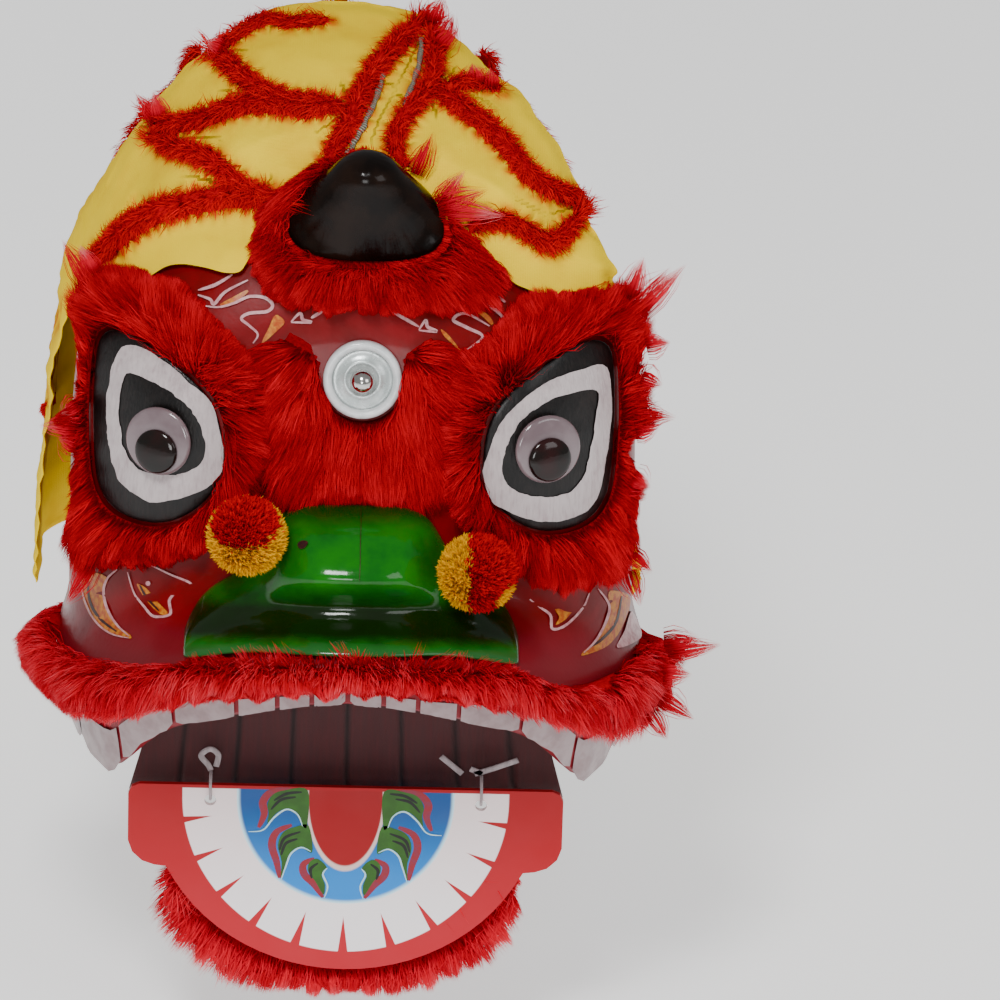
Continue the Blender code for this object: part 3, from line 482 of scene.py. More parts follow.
@dataclass(frozen=True)
class PlainCloth(Finish):
    """Woven cloth with painted shade in its creases, where the mesh says."""

    base: Colour = (0.050, 0.003, 0.004)
    # Colour of the painted shade in the creases.
    crease: Colour = (0.005, 0.0, 0.0)
    thread_mm: float = 0.7

    def paint(self, net: ShaderNet) -> None:
        """Write threads, faint streaks and painted shade in the creases.

        Args:
            net: The net to write in.
        """
        where = net.place()
        x, _, z = net.axes(where)
        turn = 2 * math.pi / self.thread_mm
        weave = (x * turn).sine() * (z * turn).sine() * 0.5 + 0.5
        streaks = net.grain(net.stretched(where, (1.0, 1.0, 0.08)), 1.6, 2.0)
        colour = net.mix(streaks.ramp(0.3, 0.8) * 0.6, self.base, tuple(c * 1.7 for c in self.base))
        # The crease colour is painted shade in the recessed folds.
        colour = net.mix(net.attribute("crease") * 0.9, colour, self.crease)
        net.dress(Base_Color=colour, Roughness=streaks * 0.2 + 0.62, Normal=net.bump(weave + streaks, 0.16),
                  Sheen_Weight=0.2)


@dataclass(frozen=True)
class YarnFinish(Finish):
    """Cut wool of two colours."""

    red: Colour = (0.64, 0.0, 0.008)
    yellow: Colour = (0.90, 0.46, 0.0)

    def paint(self, net: ShaderNet) -> None:
        """Write wool, with painted shade inside the ball and bright at the cut ends.

        Args:
            net: The net to write in.
        """
        along = net.attribute("along")
        tone = net.attribute("tone")
        wool = net.mix(net.attribute("zone"), self.red, self.yellow)
        # The dark colours are painted shade in the depth of the ball.
        dark = net.mix(net.attribute("zone"), tuple(c * 0.25 for c in self.red), (0.45, 0.16, 0.004))
        net.dress(Base_Color=net.mix(along.ramp(0.2, 0.85) * (tone * 0.45 + 0.55), dark, wool),
                  Roughness=tone * 0.1 + 0.85, Specular_IOR_Level=0.0)


@dataclass(frozen=True)
class Metal(Finish):
    """Bright metal with faint scratches and smears."""

    base: Colour = (0.72, 0.71, 0.70)
    gloss: float = 0.12

    def paint(self, net: ShaderNet) -> None:
        """Write metal with smears.

        Args:
            net: The net to write in.
        """
        where = net.place()
        smear = net.grain(where, 4.0, 5.0, 0.7)
        net.dress(Base_Color=net.mix(smear, self.base, tuple(c * 0.8 for c in self.base)), Metallic=1.0,
                  Roughness=smear.ramp(0.4, 0.8) * 0.16 + self.gloss,
                  Normal=net.bump(net.grain(where, 0.8, 2.0), 0.02))


@dataclass(frozen=True)
class JawPrint(Finish):
    """The printed jaw: red board, a horseshoe of teeth, a blue field and a red tongue.

    The print is laid out about the centre of the board's arc, and darker towards its top as a painted shadow of the
    brim.
    """

    centre_z: float = -253.2
    teeth_outer: tuple[float, float] = (73.5, 79.0)
    teeth_inner: tuple[float, float] = (49.0, 54.0)
    tongue: tuple[float, float] = (16.6, 34.5)
    tongue_line_mm: float = 1.3
    gap_step_deg: float = 16.1
    gap_tip: float = 61.0
    gap_half_mm: float = 2.2
    red: Colour = (0.34, 0.0, 0.004)
    red_lit: Colour = (0.50, 0.008, 0.020)
    tooth: Colour = (0.86, 0.72, 0.72)
    tooth_lit: Colour = (0.98, 0.93, 0.94)
    blue: Colour = (0.0, 0.07, 0.26)
    blue_lit: Colour = (0.0, 0.22, 0.66)
    glow: Colour = (0.55, 0.85, 0.98)
    tongue_red: Colour = (0.30, 0.0, 0.003)
    line: Colour = (0.72, 0.55, 0.50)

    def paint(self, net: ShaderNet) -> None:
        """Write the print as rings about the arc's centre.

        Args:
            net: The net to write in.
        """
        where = net.place()
        x, _, z = net.axes(where)
        drop = (z - self.centre_z).least(0.0)
        low = drop.size()

        def ring(half: float, depth: float) -> Shade:
            """Return the distance in shares of a horseshoe that is half wide and depth deep."""
            return ((x / half) ** 2 + (low / depth) ** 2) ** 0.5

        # Red, teeth and blue turn lighter towards the bottom: a painted shadow of the brim over the board's top.
        fall = (z - self.centre_z).ramp(5.0, -75.0)
        red = net.mix(fall, self.red, self.red_lit)
        tooth = net.mix(fall, self.tooth, self.tooth_lit)
        blue = net.mix((z - self.centre_z).ramp(0.0, -48.0), self.blue, self.blue_lit)
        inner = ring(*self.teeth_inner)
        outer = ring(*self.teeth_outer)
        tongue = ring(*self.tongue)
        reach = (x ** 2 + low ** 2) ** 0.5
        bearing = x.bearing(low + 0.001)
        across = bearing.folded(math.radians(self.gap_step_deg)).size() * reach
        width = (reach - self.gap_tip) * (self.gap_half_mm / (self.teeth_outer[1] - self.gap_tip))
        gap = (across - width).ramp(0.15, -0.15) * bearing.size().ramp(math.radians(86), math.radians(85))
        print_ink = net.mix(outer.ramp(1.004, 0.996), red, net.mix(gap, tooth, red))
        field_ink = net.mix(inner.ramp(0.955, 1.0), blue, self.glow)
        print_ink = net.mix(inner.ramp(1.006, 0.994), print_ink, field_ink)
        line_share = self.tongue_line_mm / self.tongue[0]
        print_ink = net.mix(tongue.ramp(1.0 + line_share + 0.02, 1.0 + line_share - 0.02), print_ink, self.line)
        print_ink = net.mix(tongue.ramp(1.02, 0.98), print_ink, self.tongue_red)
        top = (z - self.centre_z).ramp(4.0, 4.4)
        print_ink = net.mix(top, print_ink, red)
        haze = net.grain(where, 20.0, 2.0)
        net.dress(Base_Color=net.mix(haze * 0.05, print_ink, (0.55, 0.30, 0.30)),
                  Roughness=haze * 0.14 + 0.40, Coat_Weight=0.04,
                  Coat_Roughness=0.2, Specular_IOR_Level=0.2,
                  Normal=net.bump(net.grain(where, 0.6, 1.0), 0.03))


@dataclass(frozen=True)
class Ink(Finish):
    """A flat printed or brushed ink with faint unevenness."""

    base: Colour = (0.9, 0.8, 0.8)
    other: Colour = (0.8, 0.6, 0.6)
    patch_mm: float = 3.0
    gloss: float = 0.3

    def paint(self, net: ShaderNet) -> None:
        """Write the ink.

        Args:
            net: The net to write in.
        """
        where = net.place()
        uneven = net.grain(where, self.patch_mm, 4.0).ramp(0.35, 0.7)
        net.dress(Base_Color=net.mix(uneven, self.base, self.other), Roughness=uneven * 0.1 + self.gloss,
                  Coat_Weight=0.1, Coat_Roughness=0.1, Specular_IOR_Level=0.3,
                  Normal=net.bump(net.grain(where, 0.7), 0.02))


@dataclass(frozen=True)
class Braid(Finish):
    """A twisted grey and white trimming cord."""

    pale: Colour = (0.36, 0.35, 0.28)
    dark: Colour = (0.10, 0.085, 0.05)

    def paint(self, net: ShaderNet) -> None:
        """Write slanted strands.

        Args:
            net: The net to write in.
        """
        where = net.place()
        x, y, z = net.axes(where)
        twist = ((x * 2.6 + y * 3.4 + z * 3.0).sine() * 0.5 + 0.5).ramp(0.25, 0.75)
        net.dress(Base_Color=net.mix(twist, self.pale, self.dark), Roughness=twist * 0.2 + 0.5,
                  Normal=net.bump(twist, 0.5), Metallic=0.1)


@dataclass(frozen=True)
class Backdrop(Finish):
    """A plain pale studio floor."""

    base: Colour = (0.86, 0.86, 0.86)

    def paint(self, net: ShaderNet) -> None:
        """Write the floor."""
        net.dress(Base_Color=self.base, Roughness=0.9, Specular_IOR_Level=0.0, Emission_Color=(1.0, 1.0, 1.0),
                  Emission_Strength=0.7)


SHELL_RED = ShellLacquer("shell_gloss_red", base=(0.15, 0.0, 0.001), patch=(0.21, 0.0, 0.003), gloss=0.30,
                         coat=0.1, shine=0.14)
HORN_BLACK = Lacquer("horn_gloss_black", base=(0.003, 0.0015, 0.001), patch=(0.011, 0.005, 0.003), gloss=0.15,
                     wear=0.08, coat=0.04, shine=0.13)
NOSE_GREEN = NoseLacquer("nose_gloss_green", base=(0.003, 0.155, 0.002), patch=(0.002, 0.10, 0.003), gloss=0.12,
                         wear=0.08, coat=0.12, shine=0.28)
PLATE_BLACK = BrushedPaint("eye_plate_black", base=(0.002, 0.0015, 0.0015), patch=(0.012, 0.008, 0.007), gloss=0.26,
                           wear=0.2, coat=0.1, peel_mm=0.22)
BAND_WHITE = BrushedPaint("eye_band_white", base=(0.52, 0.46, 0.46), patch=(0.36, 0.29, 0.30), gloss=0.32,
                          wear=0.2, coat=0.2, peel_mm=0.22, patch_mm=9.0)
DISC_GREY = Lacquer("eye_disc_grey", base=(0.19, 0.145, 0.155), patch=(0.14, 0.10, 0.11), gloss=0.16, coat=0.8,
                    wear=0.06)
PUPIL_DARK = Lacquer("pupil_dark", base=(0.006, 0.005, 0.004), patch=(0.020, 0.004, 0.004), gloss=0.10, coat=0.1,
                     wear=0.05)
RING_WHITE = Lacquer("mirror_ring_enamel", base=(0.68, 0.70, 0.70), patch=(0.54, 0.57, 0.57), gloss=0.22,
                     patch_mm=5.0)
PLATE_SILVER = Lacquer("mirror_plate_silver", base=(0.46, 0.51, 0.50), patch=(0.60, 0.64, 0.63), gloss=0.26,
                       metallic=0.35, patch_mm=6.0, coat=0.3)
CHROME = Metal("mirror_ball_chrome", base=(0.62, 0.60, 0.58), gloss=0.10)
POST_STEEL = Metal("post_steel", base=(0.5, 0.5, 0.5), gloss=0.25)
FUR_RED = HairFinish("red_fur")
FUR_LIP = HairFinish("lip_fur_pink_red", root=(0.22, 0.0, 0.005), middle=(0.80, 0.012, 0.035),
                     tip=(0.95, 0.17, 0.20), shade=(0.54, 0.0, 0.014))
FUR_STRIP = HairFinish("strip_fur_red", root=(0.30, 0.0, 0.003), middle=(0.70, 0.001, 0.008),
                       tip=(0.82, 0.05, 0.02), shade=(0.48, 0.0, 0.004))
FUR_TUFT = HairFinish("tuft_fur_pale", root=(0.22, 0.0, 0.003), middle=(0.66, 0.01, 0.03), tip=(0.80, 0.34, 0.34),
                      shade=(0.50, 0.0, 0.012))
UNDER_RED = UnderFur("under_fur_red")
UNDER_LIP = UnderFur("under_fur_lip", deep=(0.28, 0.0, 0.004), light=(0.58, 0.003, 0.014))
YELLOW_CLOTH = HoodCloth("hood_yellow_cloth")
LINING_CLOTH = PlainCloth("lining_maroon_cloth")
COTTON = PlainCloth("tie_white_cotton", base=(0.34, 0.28, 0.29), crease=(0.2, 0.18, 0.18), thread_mm=0.5)
YARN = YarnFinish("pompom_yarn")
JAW_PRINT = JawPrint("jaw_board_print")
BRAID = Braid("braid_grey")
FLAME_LINE = Ink("flame_line_pink", base=(0.66, 0.36, 0.37), other=(0.50, 0.18, 0.20))
FLAME_ORANGE = Ink("flame_orange", base=(0.42, 0.055, 0.0), other=(0.62, 0.24, 0.01), patch_mm=3.0)
FLAME_DARK = Ink("flame_dark", base=(0.02, 0.004, 0.004), other=(0.06, 0.006, 0.006))
TOOTH_PINK = Ink("tooth_pink_grey", base=(0.36, 0.28, 0.285), other=(0.28, 0.20, 0.205), patch_mm=8.0)
LEAF_GREEN = Ink("leaf_green", base=(0.020, 0.085, 0.004), other=(0.026, 0.115, 0.006), patch_mm=6.0)
LEAF_DARK = Ink("leaf_dark", base=(0.004, 0.006, 0.003), other=(0.008, 0.012, 0.006))
LEAF_RED = Ink("leaf_red", base=(0.26, 0.010, 0.020), other=(0.20, 0.020, 0.05))
CURL_BLUE = Ink("curl_pale_blue", base=(0.36, 0.62, 0.72), other=(0.50, 0.70, 0.72))


# Outlines on the leaning plane, in millimetres


EYE_FUR_LEFT_EDGE: Outline = (
    (-131.4, -45.6), (-126.9, -37.5), (-122.4, -42), (-115.7, -40.2), (-108.9, -42), (-99.9, -43.8),
    (-90.9, -47.4), (-77.4, -49.7), (-70.2, -57.3), (-62.1, -66.3), (-50.4, -78.9), (-36.9, -87.9),
    (-32.4, -103.2), (-34.6, -130.2), (-40.5, -148.2), (-50.4, -161.7), (-61.6, -171.6), (-68.4, -177.9),
    (-74.7, -175.2), (-81.9, -181.5), (-90, -177), (-98.1, -181.5), (-105.3, -177), (-111.6, -184.2),
    (-115.2, -180.6), (-117.9, -191.4), (-122.4, -187.8), (-125.1, -195), (-130.5, -184.2), (-133.2, -169.8),
    (-128.7, -165.3), (-130.5, -157.2), (-126, -148.2), (-129.6, -141.9), (-125.1, -134.7), (-126.9, -129.3),
    (-130.5, -125.7), (-135.9, -121.2), (-140.8, -116.7), (-135.9, -113.1), (-129.6, -108.6), (-124.2, -105),
    (-126.9, -99.6), (-122.4, -92.4), (-126.9, -81.6), (-123.3, -74.4), (-130.5, -68.1), (-133.2, -60.9),
)
EYE_FUR_RIGHT_EDGE: Outline = (
    (39.6, -78.5), (53.1, -77.1), (62.1, -68.1), (68.4, -54.6), (77.4, -49.2), (85.5, -51), (93.6, -53.7),
    (102.6, -50.6), (111.6, -49.7), (116.1, -41.1), (119.7, -44.7), (124.7, -40.2), (128.2, -46.5),
    (135, -44.7), (142.7, -42.9), (139.1, -53.7), (135, -62.7), (136.3, -75.3), (131.8, -79.8), (126.9, -84.3),
    (130.5, -90.6), (136.3, -93.3), (134.1, -101), (144, -106.8), (136.8, -112.2), (130.5, -117.2),
    (124.2, -120.3), (125.5, -128), (130.1, -134.7), (134.1, -139.2), (131.8, -146.4), (127.8, -150.9),
    (131.4, -161.7), (132.3, -176.1), (126, -177.9), (126.9, -188.7), (121.5, -183.3), (117, -189.6),
    (111.6, -181.5), (107.1, -189.6), (100.8, -186.9), (94.5, -195), (88.2, -188.7), (80.1, -189.6),
    (72, -180.6), (62.1, -171.6), (53.1, -166.2), (39.6, -153.6), (36, -134.7), (36, -103.2),
)
FOREHEAD_EDGE: Outline = (
    (-52.2, -78.9), (-40.5, -81.6), (-30.2, -77.6), (-22.1, -80.7), (-17.1, -87.9), (-15.8, -98.7),
    (-9.9, -107.7), (1.8, -112.2), (14.4, -107.7), (20.7, -98.7), (22.5, -86.1), (29.7, -78.9), (39.6, -76.7),
    (48.6, -81.6), (57.6, -79.8), (62.1, -103.2), (57.6, -134.7), (53.1, -153.6), (42.3, -158.1),
    (32.4, -159.9), (21.6, -155.4), (3.6, -151.8), (-21.2, -158.1), (-27.9, -164.4), (-38.7, -153.6),
    (-45, -139.2), (-48.6, -112.2),
)
RUFF_EDGE: Outline = (
    (-23.4, -0.6), (-34.2, -9.6), (-43.2, -15.9), (-48.6, -24), (-46.8, -31.2), (-52.2, -38.4), (-48.6, -42.9),
    (-51.3, -49.2), (-44.1, -52.8), (-42.3, -60.9), (-34.2, -62.7), (-27.9, -69), (-20.7, -64.5),
    (-12.6, -69.9), (-3.6, -64.5), (6.3, -69), (16.2, -64.5), (25.2, -69.9), (32.4, -65.4), (41.4, -70.8),
    (46.8, -63.6), (55.8, -70.8), (60.3, -63.6), (67.5, -68.1), (68.4, -56.4), (72, -49.2), (64.8, -42.9),
    (56.7, -35.7), (49.5, -27.6), (39.6, -20), (31.5, -11.4), (23.9, -2.4), (3.6, 9.3),
)
LIP_EDGE: Outline = (
    (-154.8, -216.6), (-150.3, -208.5), (-141.3, -201.8), (-131.4, -198.6), (-126, -205.8), (-118.8, -211.2),
    (-113.4, -218.4), (-99.9, -222), (-77.4, -221.6), (-66.2, -214.4), (-45.9, -209.4), (-23.4, -207.6),
    (-0.9, -205.8), (21.6, -207.2), (44.1, -209.9), (68.9, -214.4), (77.9, -221.1), (93.6, -229.7),
    (111.6, -234.2), (117, -225.6), (127.8, -213.5), (134.1, -206.7), (140.4, -211.2), (147.6, -208.5),
    (155.7, -211.7), (164.7, -212.6), (157.5, -217.5), (152.1, -222), (145.8, -227.4), (151.2, -240.9),
    (145.8, -244.5), (140.4, -240.9), (136.8, -250.8), (133.2, -256.2), (129.6, -259.8), (124.2, -257.1),
    (118.8, -261.6), (113.4, -255.3), (106.2, -257.1), (99, -249.9), (91.8, -252.6), (85.5, -244.5),
    (79.2, -247.2), (72.9, -240.9), (65.7, -243.6), (58.5, -236.4), (51.3, -240), (45, -233.7), (37.8, -238.2),
    (30.6, -232.8), (22.5, -237.3), (15.3, -231.9), (7.2, -238.2), (-0.9, -232.8), (-9.9, -239.1),
    (-17.1, -232.8), (-24.3, -238.2), (-31.5, -233.7), (-39.6, -240.9), (-45.9, -234.6), (-53.1, -240.9),
    (-60.3, -236.4), (-67.5, -242.7), (-72.9, -239.1), (-79.2, -246.3), (-86.4, -243.6), (-92.7, -251.7),
    (-99.9, -248.1), (-108, -255.3), (-115.2, -249.9), (-122.4, -252.6), (-131.4, -245.9), (-140.4, -238.7),
    (-149.4, -230.1),
)
BEARD_EDGE: Outline = (
    (-86.4, -314.7), (-88.2, -323.7), (-92.7, -335.4), (-87.3, -341.7), (-90.9, -351.6), (-82.8, -353.4),
    (-81.9, -360.6), (-72.9, -358.8), (-71.1, -367.8), (-65.7, -366.9), (-64.8, -375.9), (-50.4, -373.2),
    (-36.9, -376.8), (-23.4, -374.1), (-9.9, -377.3), (3.6, -374.6), (21.6, -377.3), (35.1, -373.7),
    (42.3, -374.1), (47.7, -366), (54.9, -368.7), (63, -360.6), (69.3, -363.3), (73.8, -354.3), (80.1, -354.3),
    (78.3, -344.4), (83.7, -336.3), (80.1, -328.2), (81, -319.2), (57.6, -296.7), (-68.4, -296.7),
)
CLOTH_EDGE: Outline = (
    (-153.9, 85.8), (138.6, 85.8), (138.6, -41.1), (117, -51), (107.1, -54.6), (93.6, -56.4), (80.1, -54.6),
    (70.2, -51), (63, -43.8), (57.6, -37.5), (51.3, -31.2), (42.3, -24.9), (33.3, -18.6), (27, -11.4),
    (21.6, -6.9), (-5.4, -4.2), (-18, -8.7), (-27, -15.9), (-36, -20.4), (-41.4, -26.7), (-43.2, -34.8),
    (-47.7, -42), (-51.3, -48.8), (-59.4, -48.8), (-66.6, -46.5), (-77.4, -44.7), (-84.6, -45.6),
    (-90.9, -50.1), (-104.4, -56.4), (-117.9, -58.2), (-131.4, -59.1), (-153.9, -58.2),
)
STRIPS = (
    ("hood_fur_left_1", 4, (
        (-67, 53.4), (-63, 56.1), (-57.6, 59.7), (-50.4, 65.1), (-42.3, 68.7), (-34.2, 66.9), (-23.4, 67.8),
        (-15.3, 69.1),
    )),
    ("hood_fur_left_2", 9, (
        (-67, 53.4), (-61.2, 48.9), (-54, 41.7), (-45, 34.5), (-33.3, 30), (-20.7, 28.2), (-8.1, 28.2),
    )),
    ("hood_fur_left_3", 8.6, (
        (-95.4, 25.5), (-88.2, 19.2), (-79.2, 19.2), (-67.5, 21.9), (-54.9, 26.4), (-40.5, 27.3), (-23.4, 25.5),
        (-9, 27.3),
    )),
    ("hood_fur_left_4", 9, (
        (-94, 14.7), (-86.4, 9.3), (-75.6, 5.7), (-65.7, 1.2), (-57.6, -5.1), (-48.6, -11.4), (-37.8, -14.6),
        (-23.4, -16.8),
    )),
    ("hood_fur_left_5", 12, (
        (-25.2, -18.6), (-40.5, -15.5), (-55.8, -14.6), (-68.4, -16.4), (-81.9, -19.5), (-92.7, -23.1),
        (-103.5, -30.3), (-113.4, -38.4), (-121.5, -45.6),
    )),
    ("crest_fur_left", 9.9, (
        (32.4, 75), (23.4, 66.9), (16.2, 57.9), (9, 48.9), (3.6, 39.9), (-0.9, 30), (-4.5, 20.1), (-9.9, 9.3),
        (-15.3, -3.3),
    )),
    ("crest_fur_right", 8.6, (
        (32.4, 75), (31.5, 64.2), (32.4, 53.4), (32.4, 42.6), (27.9, 32.7), (21.6, 25.5), (17.1, 17.4),
        (16.2, 9.3), (20.7, -0.6),
    )),
    ("hood_fur_right_1", 5.9, (
        (35.1, 35.4), (43.2, 39), (53.1, 40.8), (63, 38.1),
    )),
    ("hood_fur_right_2", 9, (
        (32.4, 37.2), (41.4, 30.9), (52.2, 22.8), (62.1, 14.7), (69.3, 5.7), (76.5, -2.4), (86.4, -7.8),
        (96.3, -9.6), (103.5, -7.8),
    )),
    ("hood_fur_right_3", 8.6, (
        (104.4, -8.7), (99.9, -17.7), (92.7, -26.7), (85.5, -32.1), (77.4, -28.5), (69.3, -24), (60.3, -22.2),
        (51.3, -25.8), (43.2, -30.3),
    )),
    ("braid_left", 0, (
        (9.9, 42.6), (7.2, 31.8), (2.7, 20.1), (-1.8, 11.1), (-5, 4.8),
    )),
    ("braid_right", 0, (
        (27, 60.6), (26.1, 49.8), (23.4, 39), (19.8, 28.2),
    )),
)


# Mesh helpers


def rounded(points: Outline, steps: int, closed: bool) -> list[Vector]:
    """Run a smooth curve through points.

    Args:
        points: Two or three numbers each.
        steps: The number of steps in each span.
        closed: True if the last point joins the first.

    Returns:
        The curve's points.
    """
    count = len(points)
    curve = []
    for i in range(count if closed else count - 1):
        picks = [(i + k) % count if closed else min(max(i + k, 0), count - 1) for k in (-1, 0, 1, 2)]
        p0, p1, p2, p3 = (Vector(points[k]) for k in picks)
        for step in range(steps):
            t = step / steps
            curve.append(0.5 * (2 * p1 + (p2 - p0) * t + (2 * p0 - 5 * p1 + 4 * p2 - p3) * t ** 2
                                + (3 * p1 - p0 - 3 * p2 + p3) * t ** 3))
    if not closed:
        curve.append(Vector(points[-1]))
    return curve


def closest(spot: Vector, start: Vector, end: Vector) -> Vector:
    """Return the point of a straight span that is closest to a spot.

    Args:
        spot: The spot.
        start: One end of the span.
        end: Its other end.

    Returns:
        The closest point.
    """
    step = end - start
    share = min(max((spot - start).dot(step) / max(step.length_squared, 1e-9), 0.0), 1.0)
    return start + step * share


def table_value(keys: Sequence[float], values: Sequence[float], at: float) -> float:
    """Return a table's value between its keys, joined by straight lines."""
    return float(np.interp(at, keys, values))


def add_piece(name: str, mesh: bpy.types.Mesh, finish: Finish, body: Body, node: str = "") -> bpy.types.Object:
    """Link a mesh as a smooth piece that rides on a body.

    Args:
        name: The piece's name.
        mesh: Its mesh, in metres in the model's frame.
        finish: Its finish.
        body: The body that it rides on.
        node: The CAD node that it stands for, if any.

    Returns:
        The piece.
    """
    mesh.materials.clear()
    mesh.materials.append(finish.make())
    for polygon in mesh.polygons:
        polygon.use_smooth = True
    piece = bpy.data.objects.new(name, mesh)
    bpy.context.scene.collection.objects.link(piece)
    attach(piece, body.value)
    if node:
        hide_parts(node)
    log.info("%s: %d faces", name, len(mesh.polygons))
    return piece


def mesh_from(name: str, points: Sequence[Vector], faces: Sequence[Sequence[int]]) -> bpy.types.Mesh:
    """Return a mesh of points in metres, with its faces turned outwards.

    Args:
        name: The mesh's name.
        points: Its points.
        faces: Its faces, as indices of points.

    Returns:
        The mesh.
    """
    mesh = bpy.data.meshes.new(name)
    mesh.from_pydata([tuple(p) for p in points], [], faces)
    work = bmesh.new()
    work.from_mesh(mesh)
    bmesh.ops.recalc_face_normals(work, faces=work.faces)
    work.to_mesh(mesh)
    work.free()
    return mesh


def to_model(point: Vector) -> Vector:
    """Return a point of the maker's frame in the model's frame."""
    return (point - SEAT) * MM


def carry(mesh: bpy.types.Mesh, name: str, numbers: np.ndarray) -> None:
    """Store a number at each vertex."""
    layer = mesh.attributes.new(name, "FLOAT", "POINT")
    layer.data.foreach_set("value", np.asarray(numbers, np.float32))


def rounded_node(node: str, level: int) -> bpy.types.Mesh:
    """Return a copy of a CAD node's mesh, in quads and with a subdivision surface applied.

    Args:
        node: The node's name.
        level: The number of subdivisions.

    Returns:
        The new mesh.
    """
    work = bmesh.new()
    work.from_mesh(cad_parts[node].data)
    bmesh.ops.remove_doubles(work, verts=work.verts, dist=0.000002)
    bmesh.ops.join_triangles(work, faces=work.faces, angle_face_threshold=1.2, angle_shape_threshold=3.1)
    mesh = bpy.data.meshes.new(node + "_smooth")
    work.to_mesh(mesh)
    work.free()
    holder = bpy.data.objects.new(node + "_holder", mesh)
    bpy.context.scene.collection.objects.link(holder)
    holder.modifiers.new("round", "SUBSURF").levels = level
    ready = holder.evaluated_get(bpy.context.evaluated_depsgraph_get())
    made = bpy.data.meshes.new_from_object(ready)
    bpy.data.objects.remove(holder)
    return made


def turned(base: Vector, axis: Vector, profile: Outline, count: int = 64) -> tuple[list[Vector], list[tuple]]:
    """Turn a profile of radius and height pairs about an axis.

    Args:
        base: The foot of the axis, in metres.
        axis: Its direction.
        profile: Radius and height of each ring, in millimetres.
        count: The number of points round each ring.

    Returns:
        The points and the faces.
    """
    axis = axis.normalized()
    side = axis.cross(Vector((1, 0, 0))).normalized()
    across = axis.cross(side)
    points = []
    for radius, height in profile:
        for k in range(count):
            turn = 2 * math.pi * k / count
            points.append(base + (axis * height + (side * math.cos(turn) + across * math.sin(turn)) * radius) * MM)
    faces = [(i * count + k, i * count + (k + 1) % count, (i + 1) * count + (k + 1) % count, (i + 1) * count + k)
             for i in range(len(profile) - 1) for k in range(count)]
    faces += [tuple(range(count)), tuple(range((len(profile) - 1) * count, len(profile) * count))]
    return points, faces


SEARCH_RINGS = (0.6, 1.2, 2.0, 3.0, 4.5, 6.5, 9.0, 12.0)


class Ground:
    """CAD nodes as a surface that other pieces are laid on."""

    def __init__(self, *sources: "str | bpy.types.Mesh") -> None:
        """Gather the faces of nodes and meshes in one search tree.

        Args:
            sources: Nodes' names and meshes.
        """
        points: list[Vector] = []
        faces: list[list[int]] = []
        for source in sources:
            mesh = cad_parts[source].data if isinstance(source, str) else source
            start = len(points)
            points += [v.co.copy() for v in mesh.vertices]
            faces += [[start + i for i in p.vertices] for p in mesh.polygons]
        self.tree = BVHTree.FromPolygons(points, faces)

    def lay(self, x: float, rise: float) -> tuple[Vector, Vector]:
        """Return the point and normal on the surface behind a drawn point.

        Args:
            x: Millimetres across.
            rise: Millimetres up the leaning plane.

        Returns:
            The point in metres and the normal that faces the viewer.
        """
        hit, normal = self._behind(x, rise)
        for reach, step in ((r, k) for r in SEARCH_RINGS for k in range(16)):
            if hit is not None:
                break
            turn = math.pi * step / 8
            hit, normal = self._behind(x + reach * math.cos(turn), rise + reach * math.sin(turn))
        if hit is None:
            start = to_model(Vector((x, 0, 0)) + UP * rise - INWARD * 120)
            hit, normal, _, _ = self.tree.find_nearest(start)
        if normal.dot(INWARD) > 0:
            normal = -normal
        return hit, normal

    def _behind(self, x: float, rise: float) -> tuple[Vector | None, Vector | None]:
        """Return the point and normal that a ray behind a drawn point hits, or None.

        Args:
            x: Across, in mm.
            rise: Up the leaning plane, in mm.

        Returns:
            The point and the normal, or two Nones.
        """
        start = to_model(Vector((x, 0, 0)) + UP * rise - INWARD * 600)
        hit, normal, _, _ = self.tree.ray_cast(start, INWARD)
        return hit, normal

    def under(self, x: float, rise: float) -> bool:
        """Return whether the surface lies behind a drawn point."""
        return self._behind(x, rise)[0] is not None

    def facing(self, x: float, rise: float, reach: float) -> Vector:
        """Return the mean normal within reach of a drawn point.

        Args:
            x: Across, in mm.
            rise: Up the leaning plane, in mm.
            reach: How far round the point the normals are taken, in mm.

        Returns:
            The mean normal.
        """
        total = Vector((0, 0, 0))
        for dx in (-reach, 0, reach):
            for dv in (-reach, 0, reach):
                total += self.lay(x + dx, rise + dv)[1]
        return total.normalized()


